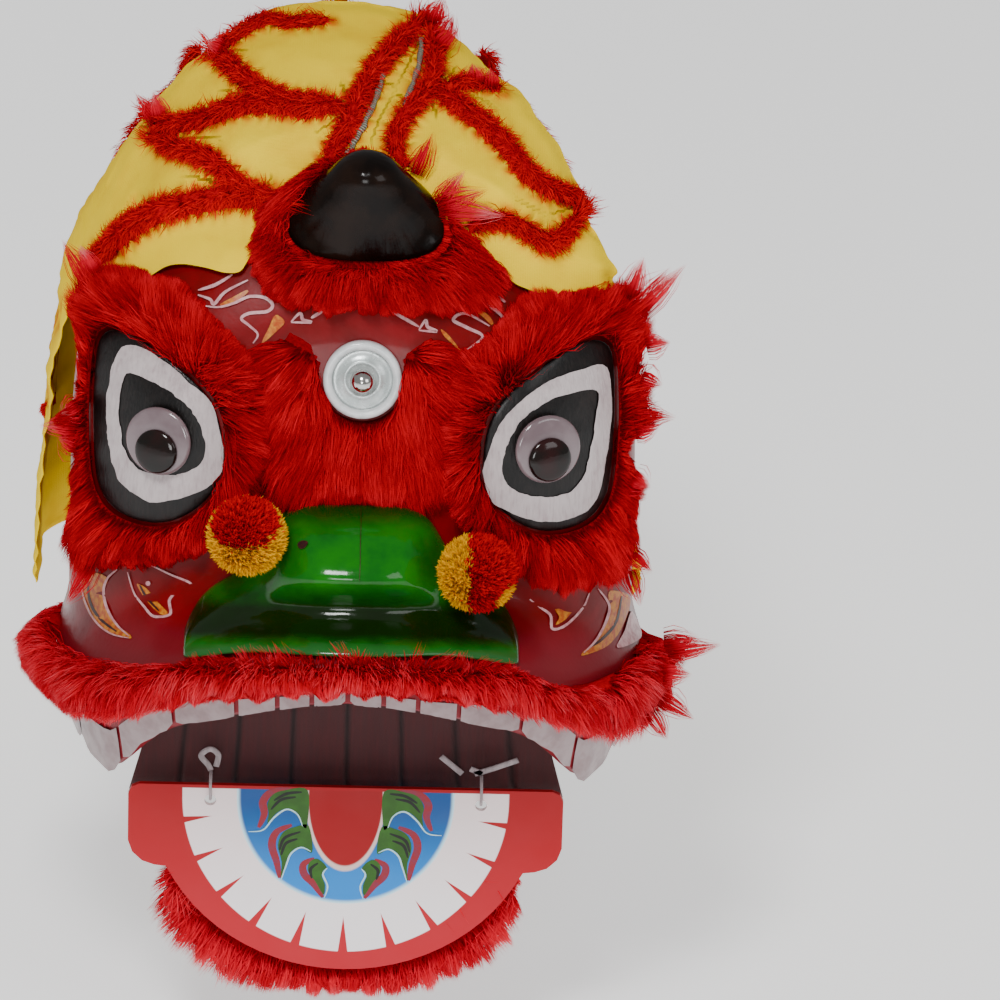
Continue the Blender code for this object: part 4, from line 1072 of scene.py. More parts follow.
class PaintFilm:
    """Painted or printed shapes, as a thin film laid on a ground."""

    def __init__(self, place: Callable[[float, float], tuple[Vector, Vector]], lift: float,
                 pitch: float = 2.5) -> None:
        """Start an empty film.

        Args:
            place: Gives the point and normal for a drawn point.
            lift: How far the film lies off the ground, in millimetres.
            pitch: The longest edge that a fill keeps, in millimetres.
        """
        self.place = place
        self.lift = lift
        self.pitch = pitch
        self.points: list[Vector] = []
        self.faces: list[tuple[int, ...]] = []

    def put(self, spots: Sequence[Vector]) -> int:
        """Lay drawn points on the ground and return the index of the first.

        Args:
            spots: The drawn points.

        Returns:
            The index of the first.
        """
        first = len(self.points)
        for spot in spots:
            point, normal = self.place(spot[0], spot[1])
            self.points.append(point + normal * self.lift * MM)
        return first

    def fill(self, outline: Outline, steps: int = 5, sharp: bool = False) -> "PaintFilm":
        """Fill a closed outline.

        Args:
            outline: The outline, in mm.
            steps: How many points each span is rounded into.
            sharp: True to keep its corners.

        Returns:
            This film, for the next shape.
        """
        edge = [Vector(p) for p in outline] if sharp else rounded(outline, steps, True)
        spots = [Vector(p[:2]) for p in edge]
        count = len(spots)
        low, high = np.min(spots, axis=0), np.max(spots, axis=0)
        inner = np.stack(np.meshgrid(np.arange(low[0], high[0], self.pitch), np.arange(low[1], high[1], self.pitch)),
                         axis=-1).reshape(-1, 2)
        inner = inner[Stencil(spots).holds_drawn(inner[:, 0], inner[:, 1])] if len(inner) else inner
        spots += [Vector(p) for p in inner if min((Vector(p) - q).length for q in edge) > self.pitch * 0.4]
        loop = [(i, (i + 1) % count) for i in range(count)]
        found, _, faces, _, _, _ = delaunay_2d_cdt(spots, loop, [], 1, 1e-4)
        first = self.put(found)
        self.faces += [tuple(first + i for i in face) for face in faces]
        return self

    def stroke(self, line: Outline, width: float, blunt: bool = False, steps: int = 7) -> "PaintFilm":
        """Draw a stroke that swells in its middle and thins at its ends.

        Args:
            line: The line's middle, in drawn points.
            width: The width, in mm.
            blunt: True to keep one width to the ends.
            steps: How many points each span is rounded into.

        Returns:
            This film, for the next shape.
        """
        curve = rounded(line, steps, False)
        last = len(curve) - 1
        spots = []
        for i, spot in enumerate(curve):
            along = (curve[min(i + 1, last)] - curve[max(i - 1, 0)])
            side = Vector((-along.y, along.x)).normalized()
            share = i / last
            swell = 1.0 if blunt else 0.25 + 0.75 * math.sin(math.pi * min(max(share, 0.02), 0.98)) ** 0.6
            spots += [spot - side * width * 0.5 * swell, spot, spot + side * width * 0.5 * swell]
        first = self.put(spots)
        for i in range(last):
            a = first + 3 * i
            self.faces += [(a, a + 1, a + 4, a + 3), (a + 1, a + 2, a + 5, a + 4)]
        return self

    def ring(self, outer: Sequence[Vector], inner: Sequence[Vector], steps: int = 4) -> "PaintFilm":
        """Fill between two outlines that have the same number of points.

        Args:
            outer: The outer outline, in mm.
            inner: The inner outline, in mm.
            steps: How many rows of faces lie between them.

        Returns:
            This film, for the next shape.
        """
        count = len(outer)
        spots = [a.lerp(b, k / steps) for k in range(steps + 1) for a, b in zip(outer, inner)]
        first = self.put(spots)
        for k in range(steps):
            for i in range(count):
                a, b = first + k * count + i, first + k * count + (i + 1) % count
                self.faces.append((a, b, b + count, a + count))
        return self

    def make(self, name: str, finish: Finish, body: Body) -> bpy.types.Object:
        """Return the film as a piece.

        Args:
            name: The piece's name.
            finish: The finish.
            body: The body that it rides on.

        Returns:
            The piece.
        """
        mesh = bpy.data.meshes.new(name)
        mesh.from_pydata([tuple(p) for p in self.points], [], self.faces)
        return add_piece(name, mesh, finish, body)


def polar(outline: Outline, centre: tuple[float, float], count: int) -> list[Vector]:
    """Resample a closed outline at equal bearings about a centre.

    Args:
        outline: The outline, in mm.
        centre: The point that the bearings are taken about.
        count: How many points to return.

    Returns:
        The points, in order of bearing.
    """
    curve = [p - Vector(centre) for p in rounded(outline, 8, True)]
    bearings = np.array([math.atan2(p.y, p.x) for p in curve])
    reaches = np.array([p.length for p in curve])
    order = np.argsort(bearings)
    turns = np.linspace(-math.pi, math.pi, count, endpoint=False)
    reach = np.interp(turns, bearings[order], reaches[order], period=2 * math.pi)
    return [Vector(centre) + Vector((math.cos(t), math.sin(t))) * float(r) for t, r in zip(turns, reach)]


class Stencil:
    """A closed outline on the leaning plane that fur is trimmed to."""

    def __init__(self, outline: Outline) -> None:
        """Keep the outline's corners."""
        self.corners = np.array(outline)

    def holds(self, points: np.ndarray) -> np.ndarray:
        """Return for each point in metres whether it is seen inside the outline."""
        across, up = drawn(points)
        return self.holds_drawn(across, up)

    def holds_drawn(self, across: np.ndarray, up: np.ndarray) -> np.ndarray:
        """Return for each drawn point whether it is inside the outline.

        Args:
            across: How far across each point is, in mm.
            up: How far up the leaning plane each point is, in mm.

        Returns:
            True for each point inside.
        """
        inside = np.zeros(across.shape, bool)
        for (x0, v0), (x1, v1) in zip(self.corners, np.roll(self.corners, -1, axis=0)):
            spans = (v0 > up) != (v1 > up)
            inside ^= spans & (across < (x1 - x0) * (up - v0) / (v1 - v0 + 1e-12) + x0)
        return inside


def drawn(points: np.ndarray) -> tuple[np.ndarray, np.ndarray]:
    """Return x and rise on the leaning plane of points in metres."""
    places = points / MM + np.array(SEAT)
    return places[..., 0], places @ np.array(UP)


# Fur


def units(rows: np.ndarray) -> np.ndarray:
    """Return rows scaled to length 1."""
    return rows / np.maximum(np.linalg.norm(rows, axis=1, keepdims=True), 1e-9)


@dataclass(frozen=True)
class Pelt:
    """How one kind of hair grows, in millimetres and shares."""

    length: float
    spread: float = 0.35
    width: float = 0.5
    lift: float = 0.45
    fall: float = 0.3
    tuft: float = 5.0
    gather: float = 0.55
    ruffle: float = 0.18
    joints: int = 2


class Coat:
    """Hair on a skin: thin tapered blades that draw together in tufts."""

    def __init__(self, pelt: Pelt, finish: Finish, seed: int) -> None:
        """Keep the pelt, the finish and the seed.

        Args:
            pelt: How the hair grows.
            finish: The hair's finish.
            seed: The seed of its draws.
        """
        self.pelt = pelt
        self.finish = finish
        self.chance = np.random.default_rng(seed)

    def scatter(self, points: np.ndarray, faces: np.ndarray, count: int) -> tuple[np.ndarray, np.ndarray]:
        """Pick roots evenly over triangles.

        Args:
            points: The skin's vertices.
            faces: Its triangles that bear hair.
            count: How many hairs.

        Returns:
            The roots and their normals.
        """
        a, b, c = (points[faces[:, k]] for k in range(3))
        cross = np.cross(b - a, c - a)
        area = np.linalg.norm(cross, axis=1)
        normals = np.zeros_like(points)
        for k in range(3):
            np.add.at(normals, faces[:, k], cross)
        normals = units(normals)
        pick = self.chance.choice(len(faces), count, p=area / area.sum())
        u, v = self.chance.random((2, count))
        flip = u + v > 1
        u[flip], v[flip] = 1 - u[flip], 1 - v[flip]
        share = np.stack([1 - u - v, u, v], axis=1)
        chosen = faces[pick]
        roots = np.einsum("ij,ijk->ik", share, points[chosen])
        return roots, units(np.einsum("ij,ijk->ik", share, normals[chosen]))

    def tufts(self, roots: np.ndarray) -> np.ndarray:
        """Return for each root the index of the root that leads its tuft.

        Args:
            roots: The hairs' roots, one a row, in metres.

        Returns:
            The index of a root for each root.
        """
        count = len(roots)
        step = self.pelt.tuft * MM
        cells = np.floor((roots - roots.min(0)) / step + self.chance.random((count, 3)) * 0.35).astype(int)
        _, leads = np.unique(cells, axis=0, return_index=True)
        tree = KDTree(len(leads))
        for index in leads:
            tree.insert(roots[index], int(index))
        tree.balance()
        return np.array([tree.find(root)[1] for root in roots])

    def grow(self, name: str, roots: np.ndarray, normals: np.ndarray, comb: np.ndarray, body: Body,
             zone: np.ndarray | None = None, edge: Stencil | None = None,
             extra: np.ndarray | None = None) -> bpy.types.Object:
        """Grow hair from roots.

        Args:
            name: The piece's name.
            roots: Where each hair starts.
            normals: The skin's normal there.
            comb: The way the hair is combed there.
            body: The body that it rides on.
            zone: A number for each hair that picks its colour, or None.
            edge: The outline that the tips stay in, or None.
            extra: A factor on each hair's length, or None.

        Returns:
            The piece.
        """
        pelt, chance, count = self.pelt, self.chance, len(roots)
        comb = units(comb - normals * np.sum(comb * normals, axis=1, keepdims=True))
        length = pelt.length * MM * (1 + pelt.spread * (chance.random((count, 1)) * 2 - 1))
        start = units(normals * pelt.lift + comb * (1 - pelt.lift) + chance.normal(size=(count, 3)) * pelt.ruffle)
        end = units(start * 0.5 + comb * 0.6 + np.array([0, 0, -pelt.fall])
                    + chance.normal(size=(count, 3)) * pelt.ruffle)
        share = np.linspace(0, 1, pelt.joints + 1)
        if extra is not None:
            length = length * extra[:, None]
        if edge is not None:
            for _ in range(4):
                out = ~edge.holds(roots + length * (start + end) / 2)
                length[out] *= 0.68
        path = np.stack([roots + length * (start * (t - t * t / 2) + end * (t * t / 2)) for t in share], axis=1)
        leads = self.tufts(roots)
        pull = (pelt.gather * share ** 1.3)[None, :, None]
        path = path + (path[leads] - path) * pull
        facing = units(normals + chance.normal(size=(count, 3)) * 0.55)
        side = units(np.cross(end, facing))
        half = pelt.width * MM / 2 * (0.75 + 0.5 * chance.random((count, 1)))
        taper = (1 - share ** 2.2 * 0.85)[:-1]
        corners = 2 * pelt.joints + 1
        points = np.empty((count, corners, 3))
        for level, thin in enumerate(taper):
            points[:, 2 * level] = path[:, level] - side * half * thin
            points[:, 2 * level + 1] = path[:, level] + side * half * thin
        points[:, -1] = path[:, -1]
        return self.mesh(name, points, share, leads, body, zone)

    def mesh(self, name: str, points: np.ndarray, share: np.ndarray, leads: np.ndarray, body: Body,
             zone: np.ndarray | None) -> bpy.types.Object:
        """Build the blades' mesh from their corner points.

        Args:
            name: The piece's name.
            points: The corners of the blades, blade by blade.
            share: How far along a hair each of its joints is, from 0 to 1.
            leads: For each hair, the hair that leads its tuft.
            body: The body that it rides on.
            zone: A number for each hair that picks its colour, or None.

        Returns:
            The piece.
        """
        count, corners, _ = points.shape
        joints = (corners - 1) // 2
        blade = []
        for level in range(joints - 1):
            a = 2 * level
            blade += [a, a + 1, a + 3, a + 2]
        blade += [corners - 3, corners - 2, corners - 1]
        loops = (np.arange(count)[:, None] * corners + np.array(blade)[None]).ravel()
        starts = np.append(np.arange(joints - 1) * 4, (joints - 1) * 4)
        starts = (np.arange(count)[:, None] * len(blade) + starts[None]).ravel()
        mesh = bpy.data.meshes.new(name)
        mesh.vertices.add(count * corners)
        mesh.vertices.foreach_set("co", points.astype(np.float32).ravel())
        mesh.loops.add(len(loops))
        mesh.loops.foreach_set("vertex_index", loops.astype(np.int32))
        mesh.polygons.add(len(starts))
        mesh.polygons.foreach_set("loop_start", starts.astype(np.int32))
        mesh.update(calc_edges=True)
        levels = np.append(np.repeat(share[:-1], 2), 1.0)
        carry(mesh, "along", np.tile(levels, count))
        tone = self.chance.random(count)
        mixed = np.clip(tone[leads] * 0.6 + tone * 0.4, 0, 1)
        carry(mesh, "tone", np.repeat(mixed, corners))
        if zone is not None:
            carry(mesh, "zone", np.repeat(zone, corners))
        mesh.materials.append(self.finish.make())
        piece = bpy.data.objects.new(name, mesh)
        bpy.context.scene.collection.objects.link(piece)
        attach(piece, body.value)
        log.info("%s: %d hairs", name, count)
        return piece


@dataclass(frozen=True)
class Tuft:
    """A long pointed tuft: the drawn spot that it grows from and the one where its tips meet."""

    base: tuple[float, float]
    tip: tuple[float, float]
    spread: float = 5.0


def grow_tufts(name: str, ground: Ground, tufts: Sequence[Tuft], finish: Finish, body: Body, seed: int) -> None:
    """Grow pointed tufts as one piece.

    Args:
        name: The piece's name.
        ground: What the tufts grow from.
        tufts: The tufts.
        finish: The hair's finish.
        body: The body that it rides on.
        seed: The seed of the hairs' places.
    """
    chance = np.random.default_rng(seed)
    count, share = 60, np.linspace(0, 1, 4)
    paths, leads = [], []
    for order, tuft in enumerate(tufts):
        foot, normal = ground.lay(*tuft.base)
        back = Vector((tuft.base[0] - tuft.tip[0], tuft.base[1] - tuft.tip[1])).normalized()
        for step in range(1, 13):
            if ground.under(*tuft.base):
                break
            foot, normal = ground.lay(tuft.base[0] + back.x * step * 1.5, tuft.base[1] + back.y * step * 1.5)
            if ground.under(tuft.base[0] + back.x * step * 1.5, tuft.base[1] + back.y * step * 1.5):
                break
        across, up = (foot / MM + SEAT).x, (foot / MM + SEAT).dot(UP)
        reach = Vector((tuft.tip[0] - across, 0, 0)) + UP * (tuft.tip[1] - up)
        side = np.array(reach.cross(INWARD).normalized())
        drift = chance.normal(size=(count, 2)) * tuft.spread * 0.45 * MM
        roots = np.array(foot + normal * 3.0 * MM) + side * drift[:, :1] - np.array(INWARD) * drift[:, 1:] * 0.5
        stretch = 0.72 + 0.33 * chance.random((count, 1))
        ends = np.array(foot + normal * 4.0 * MM) + np.array(reach) * MM * stretch + side * drift[:, :1] * 0.14
        bow = side * drift[:, :1] * 0.5
        paths.append(np.stack([roots * (1 - t) + ends * t + bow * math.sin(math.pi * t) for t in share], axis=1))
        leads += [order * count] * count
    path = np.concatenate(paths)
    coat = Coat(Pelt(length=20), finish, seed)
    facing = units(-np.array(INWARD) + chance.normal(size=(len(path), 3)) * 0.4)
    side = units(np.cross(path[:, -1] - path[:, 0], facing)) * 0.17 * MM
    corners = [path[:, level] + side * sign * (1 - share[level] ** 2.2 * 0.85) for level in range(3)
               for sign in (-1, 1)] + [path[:, -1]]
    hair = coat.mesh(name, np.stack(corners, axis=1), share, np.array(leads), body, None)


HEAD_TUFTS = (
    Tuft((127.8, -59.1), (143.1, -42.5)), Tuft((121.5, -49.2), (124.7, -39.3)),
    Tuft((129.6, -51.5), (136.3, -43.8)), Tuft((128.7, -77.1), (137.2, -74.9)),
    Tuft((127.8, -90.6), (137.2, -93.3)), Tuft((126, -107.7), (144.9, -107.3)),
    Tuft((126.9, -114), (137.7, -112.2)), Tuft((126, -134.7), (134.1, -139.2)),
    Tuft((-120.6, -50.1), (-128.2, -37.1)), Tuft((-117, -47.4), (-120.6, -39.3)),
    Tuft((-125.1, -117.6), (-141.3, -116.7)), Tuft((-124.2, -107.7), (-132.3, -112.2)),
    Tuft((-124.2, -125.7), (-133.2, -122.1)), Tuft((124.2, -168.5), (132.3, -176.1)),
    Tuft((-117.9, -184.2), (-124.2, -195)), Tuft((126, -182), (128.2, -189.6)),
)
LIP_TUFTS = (
    Tuft((142.2, -215.7), (165.2, -212.6)), Tuft((140.4, -211.2), (156.6, -210.3)),
    Tuft((137.7, -233.7), (152.1, -241.4)), Tuft((138.6, -223.8), (150.3, -223.8)),
    Tuft((134.1, -240.5), (140.4, -250.8)),
)
STRIP_TUFTS = (
    Tuft((-90, 20.1), (-99, 30.9)), Tuft((-87.3, 20.1), (-90.9, 32.2)),
    Tuft((-61.2, 52.5), (-68.9, 54.7)), Tuft((31.5, 66.9), (35.6, 77.7)),
    Tuft((35.1, 58.8), (41, 69.6)), Tuft((34.2, 54.3), (42.3, 63.3)),
    Tuft((51.3, 38.1), (50, 46.2)), Tuft((56.7, 37.2), (56.2, 45.3)), Tuft((35.1, -17), (45.9, -2)),
    Tuft((38, -22.5), (55.8, -11.3)), Tuft((24.3, -4), (31.5, 14.4)), Tuft((43.2, -28), (64, -22.5)),
)


def from_spot(x: float, rise: float, bias: Vector = Vector((0, 0, 0))) -> Comb:
    """Return a comb that parts the hair away from a drawn spot, with a bias added.

    Args:
        x: Across, in mm.
        rise: Up the leaning plane, in mm.
        bias: What is added to every direction.

    Returns:
        The comb.
    """
    def comb(roots: np.ndarray, normals: np.ndarray) -> np.ndarray:
        """Comb away from the spot.

        Args:
            roots: The hairs' roots, one a row, in metres.
            normals: The skin's normals there, one a row; not used.

        Returns:
            A direction for each hair, one a row.
        """
        places = roots / MM + np.array(SEAT)
        across = places[:, 0] - x
        up = places @ np.array(UP) - rise
        ways = units(np.stack([across, up], axis=1))
        return ways[:, :1] * np.array([1.0, 0, 0]) + ways[:, 1:] * np.array(UP) + np.array(bias)
    return comb


def downward(roots: np.ndarray, normals: np.ndarray) -> np.ndarray:
    """Comb straight down."""
    return np.tile(np.array([0.0, -0.15, -1.0]), (len(roots), 1))


@dataclass
class FurPad:
    """One fur node: its under-fur skin, drawn in from the CAD form, and the hair on it."""

    node: str
    body: Body
    count: int
    coat: Coat
    comb: Comb
    under: Finish = UNDER_RED
    ground: Ground | None = None
    keep: float = 0.55
    level: int = 1
    shrink: float = 2.5
    edge: Outline | None = None
    behind: bool = False
    bears: Callable[[np.ndarray, np.ndarray], np.ndarray] | None = None

    def build(self) -> bpy.types.Object:
        """Build the skin and the hair.

        Returns:
            The hair.
        """
        mesh = rounded_node(self.node, self.level)
        bearing_faces = self._draw_in(mesh)
        add_piece(self.node + "_skin", mesh, self.under, self.body, self.node)
        points = np.empty(len(mesh.vertices) * 3, np.float32)
        mesh.vertices.foreach_get("co", points)
        points = points.reshape(-1, 3).astype(float)
        mesh.calc_loop_triangles()
        faces = np.array([t.vertices[:] for t in mesh.loop_triangles if t.polygon_index in bearing_faces])
        stencil = None if self.edge is None else Stencil(self.edge)
        if stencil is not None:
            faces = faces[stencil.holds(points[faces].mean(axis=1))]
        if self.bears is not None:
            a, b, c = (points[faces[:, k]] for k in range(3))
            faces = faces[self.bears((a + b + c) / 3, units(np.cross(b - a, c - a)))]
        if self.behind:
            a, b, c = (points[faces[:, k]] for k in range(3))
            faces = faces[units(np.cross(b - a, c - a)) @ np.array(INWARD) > -0.12]
        roots, normals = self.coat.scatter(points, faces, self.count)
        hair = self.coat.grow(self.node + "_hair", roots, normals, self.comb(roots, normals), self.body, edge=stencil)
        return hair

    def _draw_in(self, mesh: bpy.types.Mesh) -> set[int]:
        """Move the skin towards its ground and return the faces that bear hair.

        Args:
            mesh: The mesh, changed in place.

        Returns:
            The indices of the faces that bear hair.
        """
        if self.ground is None:
            moves = [v.co - v.normal * self.shrink * MM for v in mesh.vertices]
            for vertex, spot in zip(mesh.vertices, moves):
                vertex.co = spot
            mesh.update()
            return set(range(len(mesh.polygons)))
        bearing = set()
        for polygon in mesh.polygons:
            foot = self.ground.tree.find_nearest(polygon.center)[0]
            if polygon.normal.dot(polygon.center - foot) > 0:
                bearing.add(polygon.index)
        spots = np.array([vertex.co for vertex in mesh.vertices])
        held = np.ones(len(spots), bool) if self.edge is None else Stencil(self.edge).holds(spots)
        for vertex, kept in zip(mesh.vertices, held):
            foot, normal, _, _ = self.ground.tree.find_nearest(vertex.co)
            shown = kept and not (self.behind and normal.dot(INWARD) < -0.15)
            vertex.co = foot.lerp(vertex.co, self.keep) if shown else foot - normal * 0.9 * MM
        mesh.update()
        return bearing


# Sub-assemblies


@dataclass
class Shell:
    """The moulded shell with its painted flames and the printed upper teeth."""

    film_lift: float = 0.35
    line_width: float = 1.3
    lip_reach: float = 200.0
    lip_keys: tuple = (0, 24, 34, 40, 62)
    lip_top: tuple = (-166, -185, -204, -221, -228)
    lip_foot: tuple = (-174.2, -198, -221, -245.5, -243)
    tooth_edges: tuple = (0.0, 5.0, 9.9, 16.0, 26.5, 38.5, 51.5, 64.0)
    tooth_gap_deg: float = 0.35

    def build(self) -> None:
        """Build the shell, the flames and the teeth."""
        add_piece("shell", rounded_node("head_shell", 1), SHELL_RED, Body.HEAD, "head_shell")
        self._cheeks()
        self._forehead()
        self._teeth()

    def _film(self, layer: int) -> PaintFilm:
        """Start a film on the shell; higher layers lie over lower ones."""
        return PaintFilm(Ground("head_shell").lay, self.film_lift + 0.12 * layer)

    def _cheeks(self) -> None:
        """Paint the flames on both cheeks."""
        orange = self._film(0)
        orange.fill(((-121.2, -187.6), (-120.2, -195.9), (-115, -205.2), (-106.7, -210.8), (-98.1, -212.4),
                     (-98.1, -210.5), (-104.3, -206.2), (-108.8, -199), (-110.5, -191.7), (-108.8, -185.6),
                     (-115.2, -183.3)))
        orange.fill(((126.7, -189.7), (123.6, -202.1), (116.4, -211.4), (105, -215.9), (105, -214.1),
                     (111.2, -208.3), (115.4, -200), (116.4, -192.8), (117, -186.5)))
        orange.fill(((-95.4, -187.8), (-90.9, -195), (-84.6, -200.9), (-81, -200.4), (-86.4, -195), (-90.9, -189.6)))
        orange.fill(((91.8, -194.1), (93.6, -198.6), (92.2, -202.2), (97.2, -199.1), (100.8, -193.2)))
        orange.make("cheek_flame_orange", FLAME_ORANGE, Body.HEAD)
        dark = self._film(1)
        dark.stroke(((-118, -186), (-117, -196), (-112, -204), (-104, -209.5)), 1.4)
        dark.stroke(((122.5, -189), (120, -201), (113.5, -208.5), (108, -212)), 1.4)
        dark.stroke(((-94, -188), (-90.5, -194), (-85, -199.6)), 1.2)
        dark.make("cheek_flame_dark", FLAME_DARK, Body.HEAD)
        line = self._film(2)
        line.stroke(((-104.3, -181.4), (-108.8, -185.6), (-110.5, -191.7), (-108.8, -199), (-104.3, -206.2),
                     (-98.1, -211.4)), self.line_width)
        line.stroke(((-121.2, -187.6), (-119.3, -195.9), (-114.1, -205.2), (-106.7, -210.5), (-98.1, -212.3)), 0.9)
        line.stroke(((-99.5, -182.4), (-96.4, -191.7), (-91.8, -197.7), (-87.1, -202.1), (-79.9, -201.1),
                     (-80.3, -194.8), (-76.8, -190.7), (-70.6, -187.2), (-79.9, -183.1), (-89.2, -179)),
                    self.line_width)
        line.stroke(((80.2, -190.7), (85, -194.6), (89.5, -198), (90.6, -204.2), (96.8, -202.1), (104, -194.8),
                     (107.1, -187.6)), self.line_width)
        line.stroke(((111.2, -185.6), (116.4, -192.8), (115.4, -200), (111.2, -208.3), (105, -214.8)),
                    self.line_width)
        line.fill([(-90.2 + 1.1 * math.cos(k * 0.7854), -187.2 + 1.1 * math.sin(k * 0.7854)) for k in range(8)])
        line.fill(((127.8, -195.9), (132.9, -206.2), (128.8, -210.4), (120.5, -212.4), (124.2, -204.5)))
        line.make("cheek_flame_lines", FLAME_LINE, Body.HEAD)

    def _forehead(self) -> None:
        """Paint the flames on the forehead."""
        orange = self._film(0)
        orange.fill(((-35.5, -67), (-31.5, -69.9), (-34.5, -73.8), (-41.3, -79.7), (-38.4, -72.8)))
        orange.fill(((37.8, -71.8), (41.6, -74.7), (48.5, -83.5), (43.6, -78.7), (39.2, -74.7)))
        orange.stroke(((-60, -63.2), (-54, -60.5), (-48, -56.5)), 2.4)
        orange.stroke(((52.5, -62), (58, -66), (60.5, -69)), 2.2)
        orange.make("forehead_flame_orange", FLAME_ORANGE, Body.HEAD)
        line = self._film(1)
        strokes = (
            ((-70.1, -56.7), (-62.8, -54.3), (-54.9, -49.4)),
            ((-70.1, -58.7), (-64.7, -60.6), (-62.8, -62.6), (-57.9, -57.2), (-48.1, -51.8)),
            ((-67.6, -63.5), (-60.8, -64), (-54, -62.1), (-47.2, -59.1), (-40.3, -59.6), (-36.9, -62.6),
             (-39.3, -65.5), (-47.2, -66.5), (-50.6, -68.9), (-47.2, -71.8), (-43.2, -75.7), (-45.2, -79.7)),
            ((-28.6, -69.9), (-24.7, -66), (-23.3, -68.9), (-19.8, -69.9), (-28.6, -70.1)),
            ((-19.8, -68), (-14.9, -65)),
            ((15.3, -64), (28, -70.9)),
            ((28, -72.3), (30.9, -68), (31.9, -70.9), (35.8, -72.8), (28, -72.5)),
            ((49.5, -80.6), (56.3, -74.7), (49.5, -70.9), (43.1, -67.5), (48.5, -64.5), (59.2, -69.9)),
            ((59.2, -54.3), (66, -59.1)),
            ((55.3, -59.1), (62.1, -63), (67, -68)),
        )
        for stroke in strokes:
            line.stroke(stroke, 1.5)
        line.make("forehead_flame_lines", FLAME_LINE, Body.HEAD)

    def _lip_spot(self, ground: Ground, bearing: float, height: float) -> tuple[Vector, Vector]:
        """Return the outer point of the turned-down lip at a bearing and a height.

        Args:
            ground: The shell.
            bearing: The bearing, in degrees.
            height: The height, in mm.

        Returns:
            The point and the normal.
        """
        turn = math.radians(bearing)
        ray = Vector((math.sin(turn), -math.cos(turn), 0))
        for climb in range(60):
            start = to_model(Vector((0, 0, height + climb * 0.4)) + ray * 260)
            hit, normal, _, distance = ground.tree.ray_cast(start, -ray)
            if hit is not None and distance < self.lip_reach * MM:
                break
        if normal.dot(ray) < 0:
            normal = -normal
        return hit, normal

    def _teeth(self) -> None:
        """Print the upper teeth on the turned-down lip."""
        ground = Ground("head_shell")
        film = PaintFilm(lambda bearing, height: self._lip_spot(ground, bearing, height), self.film_lift)
        for low, high in zip(self.tooth_edges, self.tooth_edges[1:]):
            for sign in (-1, 1):
                columns, rows = 8, 6
                spots = []
                for row in range(rows + 1):
                    for column in range(columns + 1):
                        share = column / columns
                        bearing = low + self.tooth_gap_deg + (high - low - 2 * self.tooth_gap_deg) * share
                        top = table_value(self.lip_keys, self.lip_top, bearing)
                        foot = table_value(self.lip_keys, self.lip_foot, bearing)
                        rounding = abs(2 * share - 1) ** 6 * 0.22
                        down = row / rows * (1 - rounding)
                        spots.append(Vector((sign * bearing, top + (foot - top) * down)))
                first = film.put(spots)
                for row in range(rows):
                    for column in range(columns):
                        a = first + row * (columns + 1) + column
                        film.faces.append((a, a + 1, a + columns + 2, a + columns + 1))
        film.make("upper_teeth", TOOTH_PINK, Body.HEAD)


